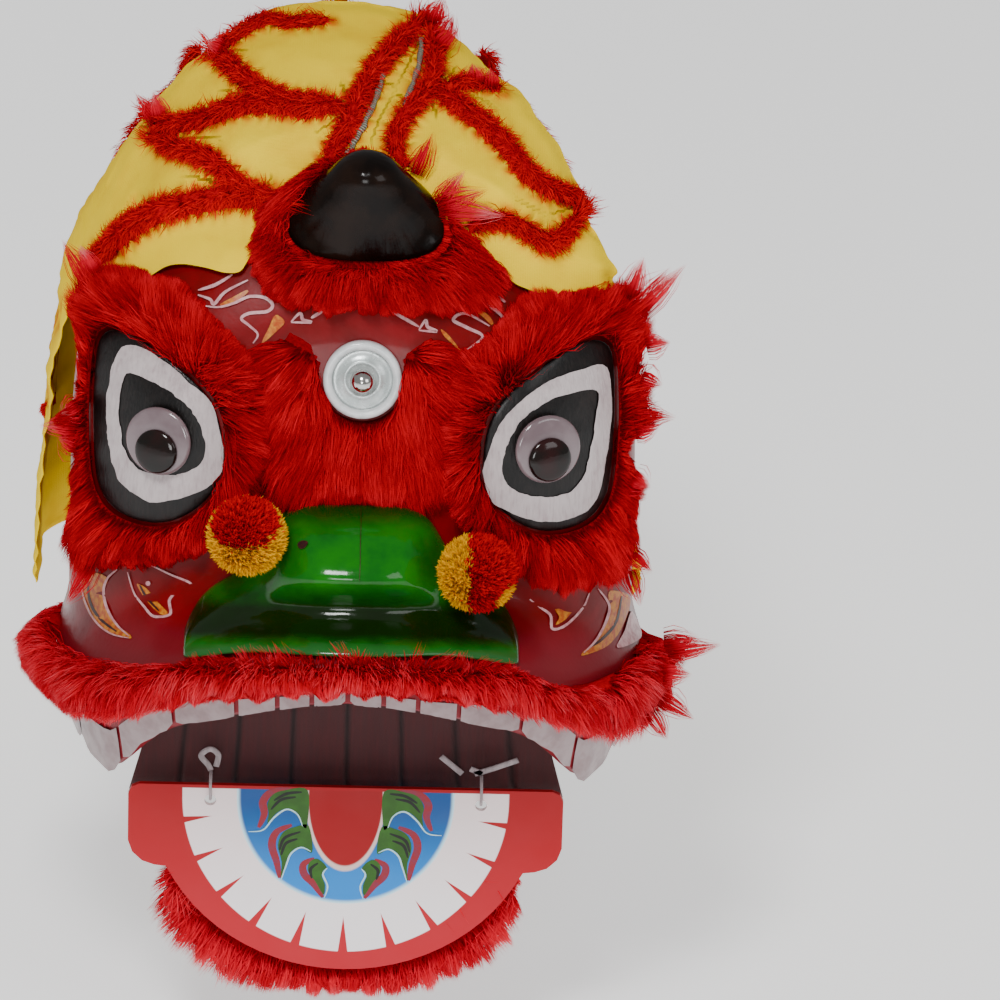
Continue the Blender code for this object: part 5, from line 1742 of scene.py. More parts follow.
@dataclass
class Hood:
    """The yellow hood, its fur strips and its braids."""

    flank_edge: Outline = ((-300.0, -106.0), (300.0, -106.0), (300.0, -400.0), (-300.0, -400.0))
    flank_strip: str = "hood_fur_left_6"
    two_part: tuple[str, ...] = ("hood_fur_left_1", "crest_fur_left", "crest_fur_right")
    skin_rows: int = 9
    skin_share: float = 0.42
    tip_rows: int = 3
    tip_stretch: float = 1.9
    puff: float = 3.0
    pinch: float = 1.5
    reach: float = 13.0
    fold: float = 1.6
    pile: float = 3.6
    hairs_per_mm: float = 26.0
    back_hairs_per_mm: float = 20.0
    front_x: tuple[float, float] = (-150.0, 130.0)
    front_rise: tuple[float, float] = (-62.0, 84.0)
    front_pitch: float = 1.3
    grazing: float = 0.12
    gather_pitch: float = 5.6
    gather_depth: float = 0.7
    flank_push: float = 4.0
    drape_rounds: int = 160
    hem_dip: float = 2.2
    edge_rounds: int = 8

    def build(self) -> None:
        """Build the cloth, then what is sewn on it."""
        drawn_only = {name for name, _, _ in STRIPS} - set(self.two_part)
        strips = sorted(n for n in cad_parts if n.startswith(("hood_fur", "crest_fur")))
        padded = {node: index for index, node in enumerate(strips) if node not in drawn_only}
        cloth = self._cloth([*padded, "eye_fur_left"])
        front = self._front()
        ground = Ground("hood")
        for node, index in padded.items():
            self._strip(node, ground, index)
        face = Ground(front.data)
        grow_tufts("strip_tufts", face, STRIP_TUFTS, FUR_TUFT, Body.HEAD, 71)
        for index, (name, width, line) in enumerate(STRIPS):
            if width:
                self._front_strip(name, width, line, face, index)
            else:
                self._braid(name, line, face)

    def _cloth(self, seams: Sequence[str]) -> bpy.types.Object:
        """Build the cloth of the sides and the back, with puffs between the strips.

        Args:
            seams: The nodes of the pieces that hold the cloth down.

        Returns:
            The piece.
        """
        mesh = rounded_node("hood", 2)
        tree = KDTree(sum(len(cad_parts[n].data.vertices) for n in seams))
        runs = {}
        index = 0
        for order, node in enumerate(seams):
            low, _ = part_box(node)
            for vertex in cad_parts[node].data.vertices:
                tree.insert(vertex.co, index)
                runs[index] = (vertex.co - low).length / MM + 40 * order
                index += 1
        tree.balance()
        near = np.empty(len(mesh.vertices))
        run = np.empty(len(mesh.vertices))
        moved = []
        for k, vertex in enumerate(mesh.vertices):
            _, found, distance = tree.find(vertex.co)
            away = distance / MM
            near[k] = math.exp(-max(away - 3, 0) / 12)
            run[k] = runs[found]
            outward = Vector((vertex.co.x + 0.009, vertex.co.y - 0.02, vertex.co.z + 0.16)).normalized()
            covered = min(max(-outward.dot(INWARD) / 0.3, 0.0), 1.0) if vertex.co.z > -0.105 else 0.0
            push = Vector((0, 0, 0))
            if vertex.co.z < -0.05:
                flank = min((-0.05 - vertex.co.z) / 0.04, 1.0)
                ripple = math.sin(vertex.co.z / MM * 2 * math.pi / 8.0 + math.sin(vertex.co.y / MM / 9)) * 0.7
                if vertex.co.x < 0:
                    push.x = -(self.flank_push + ripple) * flank
                elif vertex.co.y < 0:
                    push.x = -4.0 * flank
            lift = -self.pinch + (self.puff + self.pinch) * (1 - math.exp(-(away / self.reach) ** 2 / 2))
            fold = noise.noise(vertex.co / MM / 13.0) * self.fold * (0.4 + near[k])
            moved.append(vertex.co + (outward * ((lift + fold) * (1 - covered) - 1.2 * covered) + push) * MM)
        for vertex, spot in zip(mesh.vertices, moved):
            vertex.co = spot
        mesh.update()
        carry(mesh, "near", near)
        carry(mesh, "run", run)
        return add_piece("hood_cloth", mesh, YELLOW_CLOTH, Body.HEAD, "hood")

    def _seams(self, across: np.ndarray, up: np.ndarray) -> tuple[np.ndarray, np.ndarray]:
        """Return how far drawn points are from the nearest strip, and how far along it.

        Args:
            across: How far across each point is, in mm.
            up: How far up the leaning plane each point is, in mm.

        Returns:
            Both distances for each point, in mm.
        """
        away = np.full(across.shape, 999.0)
        run = np.zeros(across.shape)
        start = 0.0
        for _, width, line in STRIPS:
            curve = rounded(line, 4, False)
            for p, q in zip(curve, curve[1:]):
                step = q - p
                share = np.clip(((across - p.x) * step.x + (up - p.y) * step.y) / step.length_squared, 0, 1)
                gap = np.hypot(across - p.x - share * step.x, up - p.y - share * step.y) - width / 2
                closer = gap < away
                away[closer] = gap[closer]
                run[closer] = start + share[closer] * step.length
                start += step.length
        return np.maximum(away, 0.0), run

    def _front(self) -> bpy.types.Object:
        """Drape the front of the cloth over the hood's form and the top of the shell.

        Returns:
            The piece.
        """
        ground = Ground("hood", "head_shell")
        xs = np.arange(*self.front_x, self.front_pitch)
        ups = np.arange(*self.front_rise, self.front_pitch)
        across, up = np.meshgrid(xs, ups)
        depth = np.full(across.shape, np.nan)
        slope = np.ones(across.shape)
        for index in np.ndindex(across.shape):
            start = to_model(Vector((across[index], 0, 0)) + UP * up[index] - INWARD * 600)
            hit, normal, _, distance = ground.tree.ray_cast(start, INWARD)
            if hit is not None and abs(normal.dot(INWARD)) > self.grazing:
                depth[index] = distance / MM
                slope[index] = abs(normal.dot(INWARD))
        there = ~np.isnan(depth)
        form = np.where(there, depth, 0.0)
        depth = form
        for _ in range(self.drape_rounds):
            depth = np.minimum(form, self._blurred(depth, there, 1))
        inner = there.astype(float)
        for _ in range(3):
            inner = np.minimum(inner, self._neighbours(inner).min(axis=0))
        taper = self._blurred(inner, np.ones_like(there), 6)
        away, run = self._seams(across, up)
        puff = (1 - np.exp(-(away / self.reach) ** 2 / 2)) * self.puff
        waves = np.sin(run * 2 * math.pi / self.gather_pitch + np.sin(up / 9.0) * 1.5)
        waves = waves * np.exp(-(away / 5.0) ** 2) * self.gather_depth
        rough = np.array([noise.noise(Vector((x / 16, v / 11, 3))) for x, v in zip(across.flat, up.flat)])
        lift = (puff + waves + rough.reshape(across.shape) * self.fold) * taper
        lift += 2.0 * taper - (1 - taper) * self.hem_dip / np.maximum(slope, 0.2)
        inside = Stencil(CLOTH_EDGE).holds_drawn(across, up)
        keep = there & (self._neighbours(inside.astype(float)).max(axis=0) > 0.5)
        spans = [(Vector(p), Vector(q)) for p, q in zip(CLOTH_EDGE, CLOTH_EDGE[1:] + CLOTH_EDGE[:1])]
        for index in zip(*np.nonzero(keep & ~inside)):
            spot = Vector((across[index], up[index]))
            across[index], up[index] = min((closest(spot, p, q) for p, q in spans), key=lambda c: (c - spot).length)
        points, number = [], np.full(across.shape, -1)
        for index in zip(*np.nonzero(keep)):
            number[index] = len(points)
            spot = Vector((across[index], 0, 0)) + UP * up[index] + INWARD * (depth[index] - lift[index] - 600)
            points.append(to_model(spot))
        quads = np.stack([number[:-1, :-1], number[:-1, 1:], number[1:, 1:], number[1:, :-1]], axis=-1).reshape(-1, 4)
        quads = quads[(quads >= 0).all(axis=1)]
        mesh = bpy.data.meshes.new("hood_front")
        mesh.from_pydata([tuple(p) for p in points], [], quads.tolist())
        self._ease_edge(mesh)
        carry(mesh, "near", np.exp(-away[keep] / 8.0))
        carry(mesh, "run", run[keep])
        return add_piece("hood_front", mesh, YELLOW_CLOTH, Body.HEAD)

    def _ease_edge(self, mesh: bpy.types.Mesh) -> None:
        """Take the stair steps out of the cloth's cut edge.

        Args:
            mesh: The mesh, changed in place.
        """
        form = bmesh.new()
        form.from_mesh(mesh)
        rim = [v for v in form.verts if v.is_boundary]
        for _ in range(self.edge_rounds):
            spots = []
            for vertex in rim:
                beside = [e.other_vert(vertex).co for e in vertex.link_edges if e.is_boundary]
                middle = sum(beside, Vector()) / max(len(beside), 1)
                spots.append(vertex.co.lerp(middle, 0.5))
            for vertex, spot in zip(rim, spots):
                vertex.co = spot
        form.to_mesh(mesh)
        form.free()

    @staticmethod
    def _neighbours(grid: np.ndarray) -> np.ndarray:
        """Return the four neighbours of every cell, stacked."""
        wide = np.pad(grid, 1, mode="edge")
        return np.stack([wide[:-2, 1:-1], wide[2:, 1:-1], wide[1:-1, :-2], wide[1:-1, 2:]])

    def _blurred(self, grid: np.ndarray, there: np.ndarray, rounds: int) -> np.ndarray:
        """Return a grid blurred over the cells that are there.

        Args:
            grid: A value for each cell.
            there: True for each cell that counts.
            rounds: How many times to blur.

        Returns:
            The blurred grid.
        """
        value = np.where(there, grid, 0.0)
        weight = there.astype(float)
        for _ in range(rounds):
            value = (value * 2 + self._neighbours(value).sum(axis=0)) / 6
            weight = (weight * 2 + self._neighbours(weight).sum(axis=0)) / 6
        return value / np.maximum(weight, 1e-6)

    def _front_strip(self, name: str, width: float, line: Outline, ground: Ground, index: int) -> None:
        """Build a strip of fur that lies on the front of the cloth.

        Args:
            name: The strip's name.
            width: The width, in mm.
            line: The line's middle, in drawn points.
            ground: What it lies on.
            index: A number of its own, for its draws.
        """
        curve = [spot for spot in rounded(line, 6, False) if ground.under(*spot)]
        last = len(curve) - 1
        points, centres, tangents = [], [], []
        rows = self.skin_rows
        for i, spot in enumerate(curve):
            along = (curve[min(i + 1, last)] - curve[max(i - 1, 0)]).normalized()
            side = Vector((-along.y, along.x))
            slim = min(1.0, 0.45 + 0.55 * min(i, last - i) / 6)
            for k in range(rows):
                u = 2 * k / (rows - 1) - 1
                point, normal = ground.lay(*(spot + side * u * width * self.skin_share * slim))
                points.append(point + normal * (self.pile * math.sqrt(max(1 - u * u, 0)) * slim) * MM)
            centres.append(ground.lay(*spot)[0])
        for i in range(len(centres)):
            tangents.append((centres[min(i + 1, last)] - centres[max(i - 1, 0)]).normalized())
        faces = [(i * rows + k, (i + 1) * rows + k, (i + 1) * rows + k + 1, i * rows + k + 1)
                 for i in range(last) for k in range(rows - 1)]
        mesh = bpy.data.meshes.new(name + "_front_skin")
        mesh.from_pydata([tuple(p) for p in points], [], faces)
        add_piece(name + "_front_skin", mesh, UNDER_LIP, Body.HEAD)
        mesh.calc_loop_triangles()
        triangles = np.array([t.vertices[:] for t in mesh.loop_triangles])
        length = sum((b - a).length for a, b in zip(curve, curve[1:]))
        pelt = Pelt(length=7.5, spread=0.5, width=0.44, lift=0.36, fall=0.15, tuft=3.2, gather=0.4, ruffle=0.22)
        coat = Coat(pelt, FUR_STRIP, 300 + index)
        roots, normals = coat.scatter(np.array(points), triangles, int(length * self.hairs_per_mm))
        tree = KDTree(len(centres))
        for i, centre in enumerate(centres):
            tree.insert(centre, i)
        tree.balance()
        found = np.array([tree.find(root)[1] for root in roots])
        middle, ways = np.array(centres)[found], np.array(tangents)[found]
        lateral = units(roots - middle)
        comb = lateral * 0.9 + ways * coat.chance.normal(size=(len(roots), 1)) * 0.5 + np.array([0, 0, -0.25])
        extra = np.ones(len(roots))
        tip = found < self.tip_rows
        comb[tip] = -ways[tip] * 2.0 + lateral[tip] * 0.2
        extra[tip] = self.tip_stretch
        hair = coat.grow(name + "_front_hair", roots, normals, comb, Body.HEAD, extra=extra)
        if name != "hood_fur_left_1":
            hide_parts(name)

    def _braid(self, name: str, line: Outline, ground: Ground) -> None:
        """Lay a braid on the front of the cloth.

        Args:
            name: The braid's node.
            line: The line's middle, in drawn points.
            ground: What it lies on.
        """
        curve = rounded(line, 8, False)
        points: list[Vector] = []
        faces: list[tuple[int, ...]] = []
        centres = []
        for spot in curve:
            point, normal = ground.lay(*spot)
            centres.append(point + normal * 0.9 * MM)
        count = 10
        for i, centre in enumerate(centres):
            along = (centres[min(i + 1, len(curve) - 1)] - centres[max(i - 1, 0)]).normalized()
            side = along.cross(Vector((0, -1, 0.5))).normalized()
            up = along.cross(side)
            for k in range(count):
                turn = 2 * math.pi * k / count + i * 0.5
                radius = (1.25 + 0.3 * math.cos(2 * turn)) * MM
                points.append(centre + (side * math.cos(turn - i * 0.5) + up * math.sin(turn - i * 0.5)) * radius)
        for i in range(len(curve) - 1):
            faces += [(i * count + k, i * count + (k + 1) % count, (i + 1) * count + (k + 1) % count,
                       (i + 1) * count + k) for k in range(count)]
        faces += [tuple(range(count)), tuple(range((len(curve) - 1) * count, len(curve) * count))]
        add_piece(name + "_cord", mesh_from(name, points, faces), BRAID, Body.HEAD, name)

    def _strip(self, node: str, ground: Ground, index: int) -> None:
        """Build one strip of fur that stays on its CAD pad.

        Args:
            node: The strip's node.
            ground: What it lies on.
            index: A number of its own, for its draws.
        """
        low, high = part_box(node)
        length = (high - low).length / MM
        flank = node == self.flank_strip
        pelt = Pelt(length=3.5 if flank else 8.5, spread=0.4, lift=0.5, fall=0.25, tuft=4.0, gather=0.5, ruffle=0.28)
        FurPad(node, Body.HEAD, int(length * self.back_hairs_per_mm), Coat(pelt, FUR_STRIP, 100 + index), downward,
               UNDER_LIP, ground, keep=0.5 if flank else 0.65, edge=self.flank_edge if flank else None,
               behind=node in self.two_part).build()


@dataclass
class Crown:
    """The horn, its fur skirt and the fur of the forehead."""

    collar_x: float = 3.6
    collar_rise: float = -24.0
    collar_half: tuple[float, float] = (39.0, 24.0)
    collar_ring: float = 0.8
    collar_top: float = -21.0

    def build(self) -> None:
        """Build the horn and the fur round it."""
        add_piece("horn_gloss", rounded_node("horn", 2), HORN_BLACK, Body.HEAD, "horn")
        ground = Ground("head_shell")
        ruff = Pelt(length=24, spread=0.35, width=0.5, lift=0.35, fall=0.35, tuft=6.0, gather=0.5, ruffle=0.16)
        FurPad("horn_ruff", Body.HEAD, 16500, Coat(ruff, FUR_RED, 11), from_spot(3.6, -16, Vector((0, 0, -0.3))),
               UNDER_RED, ground, edge=RUFF_EDGE).build()
        self._collar()
        brow = Pelt(length=20, spread=0.4, width=0.48, lift=0.3, fall=0.3, tuft=7.0, gather=0.5, ruffle=0.18)
        FurPad("forehead_fur", Body.HEAD, 15000, Coat(brow, FUR_RED, 12),
               from_spot(3.6, -78, Vector((0, 0, -0.35))), UNDER_RED, ground, edge=FOREHEAD_EDGE).build()

    def _collar(self) -> None:
        """Grow the short fur that closes the gap under the horn's edge."""
        ground = Ground("head_shell", "horn_ruff")
        film = PaintFilm(ground.lay, 0.8, 3.0)
        film.fill([(self.collar_x + self.collar_half[0] * math.cos(k * math.pi / 8),
                    min(self.collar_rise + self.collar_half[1] * math.sin(k * math.pi / 8), self.collar_top))
                   for k in range(16)])
        points = np.array(film.points)
        faces = np.array(film.faces)
        film.make("horn_collar_skin", UNDER_RED, Body.HEAD)
        a, b, c = (points[faces[:, k]] for k in range(3))
        turned_in = np.cross(b - a, c - a) @ np.array(INWARD) > 0
        faces[turned_in] = faces[turned_in][:, ::-1]
        across, up = drawn(points[faces].mean(axis=1))
        faces = faces[np.hypot((across - self.collar_x) / self.collar_half[0],
                               (up - self.collar_rise) / self.collar_half[1]) > self.collar_ring]
        pelt = Pelt(length=11, spread=0.3, width=0.48, lift=0.12, fall=0.2, tuft=4.0, gather=0.5, ruffle=0.12)
        coat = Coat(pelt, FUR_RED, 13)
        roots, normals = coat.scatter(points, faces, 4200)
        comb = from_spot(self.collar_x, self.collar_rise)(roots, normals)
        coat.grow("horn_collar_hair", roots, normals, comb, Body.HEAD, edge=Stencil(RUFF_EDGE))


@dataclass
class Mirror:
    """The forehead mirror: enamel ring, silver plate with a raised inner ring, and a chrome ball."""

    x: float = 3.6
    rise: float = -94.2
    radius: float = 17.5
    ring_width: float = 4.0
    ball: float = 5.5

    def build(self) -> None:
        """Build the mirror's pieces."""
        ground = Ground("head_shell")
        foot, _ = ground.lay(self.x, self.rise)
        axis = ground.facing(self.x, self.rise, 12.0)
        base = foot + axis * 2.0 * MM
        outer, inner = self.radius, self.radius - self.ring_width
        ring = ((inner, 1.8), (inner, 3.4), (inner + 0.5, 4.3), (inner + 1.4, 4.8), (outer - 1.2, 4.8),
                (outer - 0.4, 4.2), (outer, 3.2), (outer, 0.0))
        self._turn("mirror_ring", base, axis, ring, RING_WHITE, open_ends=True)
        dish = ((inner + 0.2, 0.2), (inner + 0.2, 1.9), (inner - 1.0, 1.9), (9.2, 2.2), (8.6, 2.9), (7.6, 3.1),
                (6.9, 2.7), (6.4, 2.2), (3.4, 2.4))
        self._turn("mirror_plate", base, axis, dish, PLATE_SILVER)
        centre = 2.4 + self.ball
        ball = [(max(self.ball * math.sin(math.pi * k / 24), 0.02), centre - self.ball * math.cos(math.pi * k / 24))
                for k in range(25)]
        self._turn("mirror_ball", base, axis, ball, CHROME)

    def _turn(self, node: str, base: Vector, axis: Vector, profile: Outline, finish: Finish,
              open_ends: bool = False) -> None:
        """Turn one piece of the mirror in place of its node.

        Args:
            node: The CAD node that it stands for.
            base: The foot of the axis.
            axis: The axis.
            profile: Points of the profile: radius and height, in mm.
            finish: The finish.
            open_ends: True for a profile that closes on itself.
        """
        points, faces = turned(base, axis, profile)
        if open_ends:
            faces = faces[:-2]
        add_piece(node + "_face", mesh_from(node + "_face", points, faces), finish, Body.HEAD, node)


@dataclass
class Eye:
    """One painted eye: black plate, brushed white band, grey disc, dark pupil and the fur round it."""

    side: str
    centre: tuple[float, float]
    band_outer: Outline
    band_inner: Outline
    disc: tuple[float, float]
    pupil: tuple[float, float]
    fur_edge: Outline
    disc_radius: float = 15.5
    pupil_radius: float = 10.0
    hairs: int = 21500
    seed: int = 21

    def build(self) -> None:
        """Build the eye's pieces."""
        plate = f"eye_plate_{self.side}"
        add_piece(plate + "_paint", rounded_node(plate, 2), PLATE_BLACK, Body.HEAD, plate)
        self._band()
        self._disc()
        self._fur()

    def _band(self) -> None:
        """Brush the white band on the plate."""
        count = 120
        outer = polar(self.band_outer, self.centre, count)
        inner = polar(self.band_inner, self.centre, count)
        chance = np.random.default_rng(self.seed)
        for line, amount in ((outer, 0.35), (inner, 0.4)):
            wobble = chance.normal(size=count)
            wobble = (wobble + np.roll(wobble, 1) + np.roll(wobble, 2)) / 3
            for k, spot in enumerate(line):
                ray = (spot - Vector(self.centre)).normalized()
                line[k] = spot + ray * float(wobble[k]) * amount
        film = PaintFilm(Ground(f"eye_plate_{self.side}").lay, 0.35)
        film.ring(outer, inner, 8)
        film.make(f"eye_band_{self.side}", BAND_WHITE, Body.HEAD)

    def _disc(self) -> None:
        """Build the disc and its pupil."""
        ground = Ground("head_shell")
        foot, _ = ground.lay(*self.disc)
        axis = ground.facing(*self.disc, 12.0)
        r = self.disc_radius
        disc = ((r, 4.6), (r, 5.6), (r - 0.4, 6.3), (r - 1.3, 6.9), (r - 2.0, 7.0), (r - 4.0, 7.3), (r - 7.0, 7.6))
        points, faces = turned(foot, axis, disc, 72)
        name = f"eye_disc_{self.side}"
        add_piece(name + "_face", mesh_from(name, points, faces), DISC_GREY, Body.HEAD, name)
        shift = Vector((self.pupil[0] - self.disc[0], 0, 0)) + UP * (self.pupil[1] - self.disc[1])
        shift -= axis * shift.dot(axis)
        r = self.pupil_radius
        dome = [(r, 7.7), (r, 8.4)] + [(r * math.cos(math.pi * k / 20), 8.4 + 2.6 * math.sin(math.pi * k / 20))
                                       for k in range(1, 10)] + [(0.05, 11.0)]
        points, faces = turned(foot + shift * MM, axis, dome, 64)
        name = f"pupil_{self.side}"
        add_piece(name + "_face", mesh_from(name, points, faces), PUPIL_DARK, Body.HEAD, name)

    def _fur(self) -> None:
        """Grow the fur round the plate, combed away from the eye."""
        pelt = Pelt(length=21, spread=0.4, width=0.5, lift=0.32, fall=0.22, tuft=7.0, gather=0.55, ruffle=0.17)
        FurPad(f"eye_fur_{self.side}", Body.HEAD, self.hairs, Coat(pelt, FUR_RED, self.seed),
               from_spot(*self.centre), UNDER_RED, Ground("head_shell"), edge=self.fur_edge).build()


@dataclass
class Muzzle:
    """The nose, the lip's fur, the pompoms and the mouth's lining."""

    pompoms: tuple = (("left", (-46.0, -146.0, -110.5)), ("right", (56.0, -149.0, -125.0)))
    pompom_radius: float = 18.5
    yarn_ends: int = 8000
    pleat: float = 24.0
    lining_top: tuple[float, float] = (-109.0, -147.5)
    lining_foot: tuple[float, float] = (-111.0, -258.0)
    lining_half: tuple[float, float] = (69.0, 98.0)

    def build(self) -> None:
        """Build the muzzle's pieces."""
        add_piece("nose_gloss", rounded_node("nose", 2), NOSE_GREEN, Body.HEAD, "nose")
        self._nose_marks()
        fur = Ground("eye_fur_left", "eye_fur_right", "lip_fur")
        grow_tufts("brow_tufts", fur, HEAD_TUFTS, FUR_TUFT, Body.HEAD, 72)
        grow_tufts("lip_tufts", fur, LIP_TUFTS, FUR_TUFT, Body.HEAD, 73)
        pelt = Pelt(length=17, spread=0.4, width=0.52, lift=0.55, fall=0.35, tuft=5.0, gather=0.5, ruffle=0.2)
        FurPad("lip_fur", Body.HEAD, 27000, Coat(pelt, FUR_LIP, 31), self._lip_comb, UNDER_LIP,
               Ground("head_shell"), keep=0.62, edge=LIP_EDGE).build()
        for index, (side, centre) in enumerate(self.pompoms):
            self._pompom(side, Vector(centre), index)
            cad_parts[f"pompom_post_{side}"].data.materials.clear()
            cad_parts[f"pompom_post_{side}"].data.materials.append(POST_STEEL.make())
        self._lining()

    def _lip_comb(self, roots: np.ndarray, normals: np.ndarray) -> np.ndarray:
        """Comb the lip's hair outwards and down.

        Args:
            roots: The hairs' roots, one a row, in metres.
            normals: The skin's normals there, one a row.

        Returns:
            A direction for each hair, one a row.
        """
        outward = units(roots * np.array([1.0, 1.0, 0.0]))
        rising = np.clip(normals[:, 2:], 0, 1) * np.array([0.0, 0.1, 0.75])
        return outward * 0.7 + np.array([0.0, 0.0, -0.75]) + rising

    def _nose_marks(self) -> None:
        """Paint the small slot as a dark patch of painted shade, and draw the seam of the two moulded halves."""
        ground = Ground("nose")
        film = PaintFilm(ground.lay, 0.25, 1.0)
        # The slot is drawn as a dark patch: painted shade in its opening.
        film.fill(((-23.6, -168.0), (-21.2, -166.6), (-19.0, -167.4), (-20.4, -169.8), (-22.6, -170.2)))
        film.stroke(((4.0, -152), (4.2, -160), (4.1, -168), (4.2, -176), (4.0, -184)), 0.35)
        film.make("nose_slot", FLAME_DARK, Body.HEAD)

    def _pompom(self, side: str, centre: Vector, index: int) -> None:
        """Build one pompom of red and yellow wool.

        Args:
            side: Which side it is on: left or right.
            centre: Its middle, in metres.
            index: A number of its own, for its draws.
        """
        chance = np.random.default_rng(40 + index)
        ways = units(chance.normal(size=(self.yarn_ends, 3)))
        middle = np.array(to_model(centre))
        ball = bmesh.new()
        bmesh.ops.create_icosphere(ball, subdivisions=4, radius=self.pompom_radius * 0.80 * MM)
        mesh = bpy.data.meshes.new(f"pompom_{side}_core")
        ball.to_mesh(mesh)
        ball.free()
        spots = np.array([v.co for v in mesh.vertices])
        mesh.vertices.foreach_set("co", (spots + middle).astype(np.float32).ravel())
        # An along of 0.45 gives the core mostly the yarn's painted shade.
        carry(mesh, "along", np.full(len(spots), 0.45))
        carry(mesh, "tone", np.full(len(spots), 0.4))
        carry(mesh, "zone", self._wool(side, units(spots), chance))
        add_piece(f"pompom_{side}_core", mesh, YARN, Body.HEAD)
        roots = middle + ways * self.pompom_radius * 0.76 * MM
        pelt = Pelt(length=self.pompom_radius * 0.27, spread=0.16, width=1.5, lift=1.0, fall=0.05, tuft=1.2,
                    gather=0.2, ruffle=0.36)
        hair = Coat(pelt, YARN, 50 + index).grow(f"pompom_{side}_yarn", roots, ways, ways + 0.3, Body.HEAD,
                                                 self._wool(side, ways, chance))
        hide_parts(f"pompom_{side}")

    @staticmethod
    def _wool(side: str, ways: np.ndarray, chance: np.random.Generator) -> np.ndarray:
        """Return 1 for each direction from a pompom's middle that has yellow wool, and 0 for red.

        Args:
            side: Which side it is on: left or right.
            ways: The directions, one a row.
            chance: The source of draws.

        Returns:
            1 or 0 for each direction.
        """
        ragged = chance.normal(size=len(ways)) * 0.03
        if side == "left":
            return (ways @ np.array([-0.12, -0.373, 0.92]) + ragged < 0.42).astype(float)
        patch = ways @ np.array([0.74, -0.464, -0.47]) > 0.93
        return ((ways[:, 0] + ragged < -0.27) | patch).astype(float)

    def _lining(self) -> None:
        """Hang the pleated lining behind the mouth."""
        columns, rows = 200, 14
        points, creases = [], []
        for layer in (0.0, 1.0):
            for row in range(rows + 1):
                share = row / rows
                half = self.lining_half[0] + (self.lining_half[1] - self.lining_half[0]) * share
                y = self.lining_top[0] + (self.lining_foot[0] - self.lining_top[0]) * share
                z = self.lining_top[1] + (self.lining_foot[1] - self.lining_top[1]) * share
                for column in range(columns + 1):
                    x = -half + 2 * half * column / columns
                    slant = x * (1 - 0.12 * (share - 0.6))
                    away = abs((slant / self.pleat + 0.5) % 1.0 - 0.5) * self.pleat
                    crease = math.exp(-(away / 1.1) ** 2)
                    belly = math.cos(math.pi * away / self.pleat) * 0.8
                    wave = noise.noise(Vector((x / 17, 0, z / 40))) * 0.8
                    points.append(to_model(Vector((x, y + crease * 1.6 - belly + wave + layer * 1.0, z))))
                    creases.append(crease)
        width = columns + 1
        size = width * (rows + 1)
        faces = []
        for row in range(rows):
            for column in range(columns):
                a = row * width + column
                faces.append((a, a + 1, a + width + 1, a + width))
                faces.append((size + a + width, size + a + width + 1, size + a + 1, size + a))
        rim = [c for c in range(width)] + [r * width + columns for r in range(1, rows + 1)]
        rim += [rows * width + c for c in range(columns - 1, -1, -1)] + [r * width for r in range(rows - 1, 0, -1)]
        for a, b in zip(rim, rim[1:] + rim[:1]):
            faces.append((a, b, size + b, size + a))
        mesh = mesh_from("lining_cloth", points, faces)
        # The crease number paints shade in the pleats' recessed folds.
        carry(mesh, "crease", np.array(creases))
        piece = add_piece("lining_cloth", mesh, LINING_CLOTH, Body.HEAD, "mouth_lining")


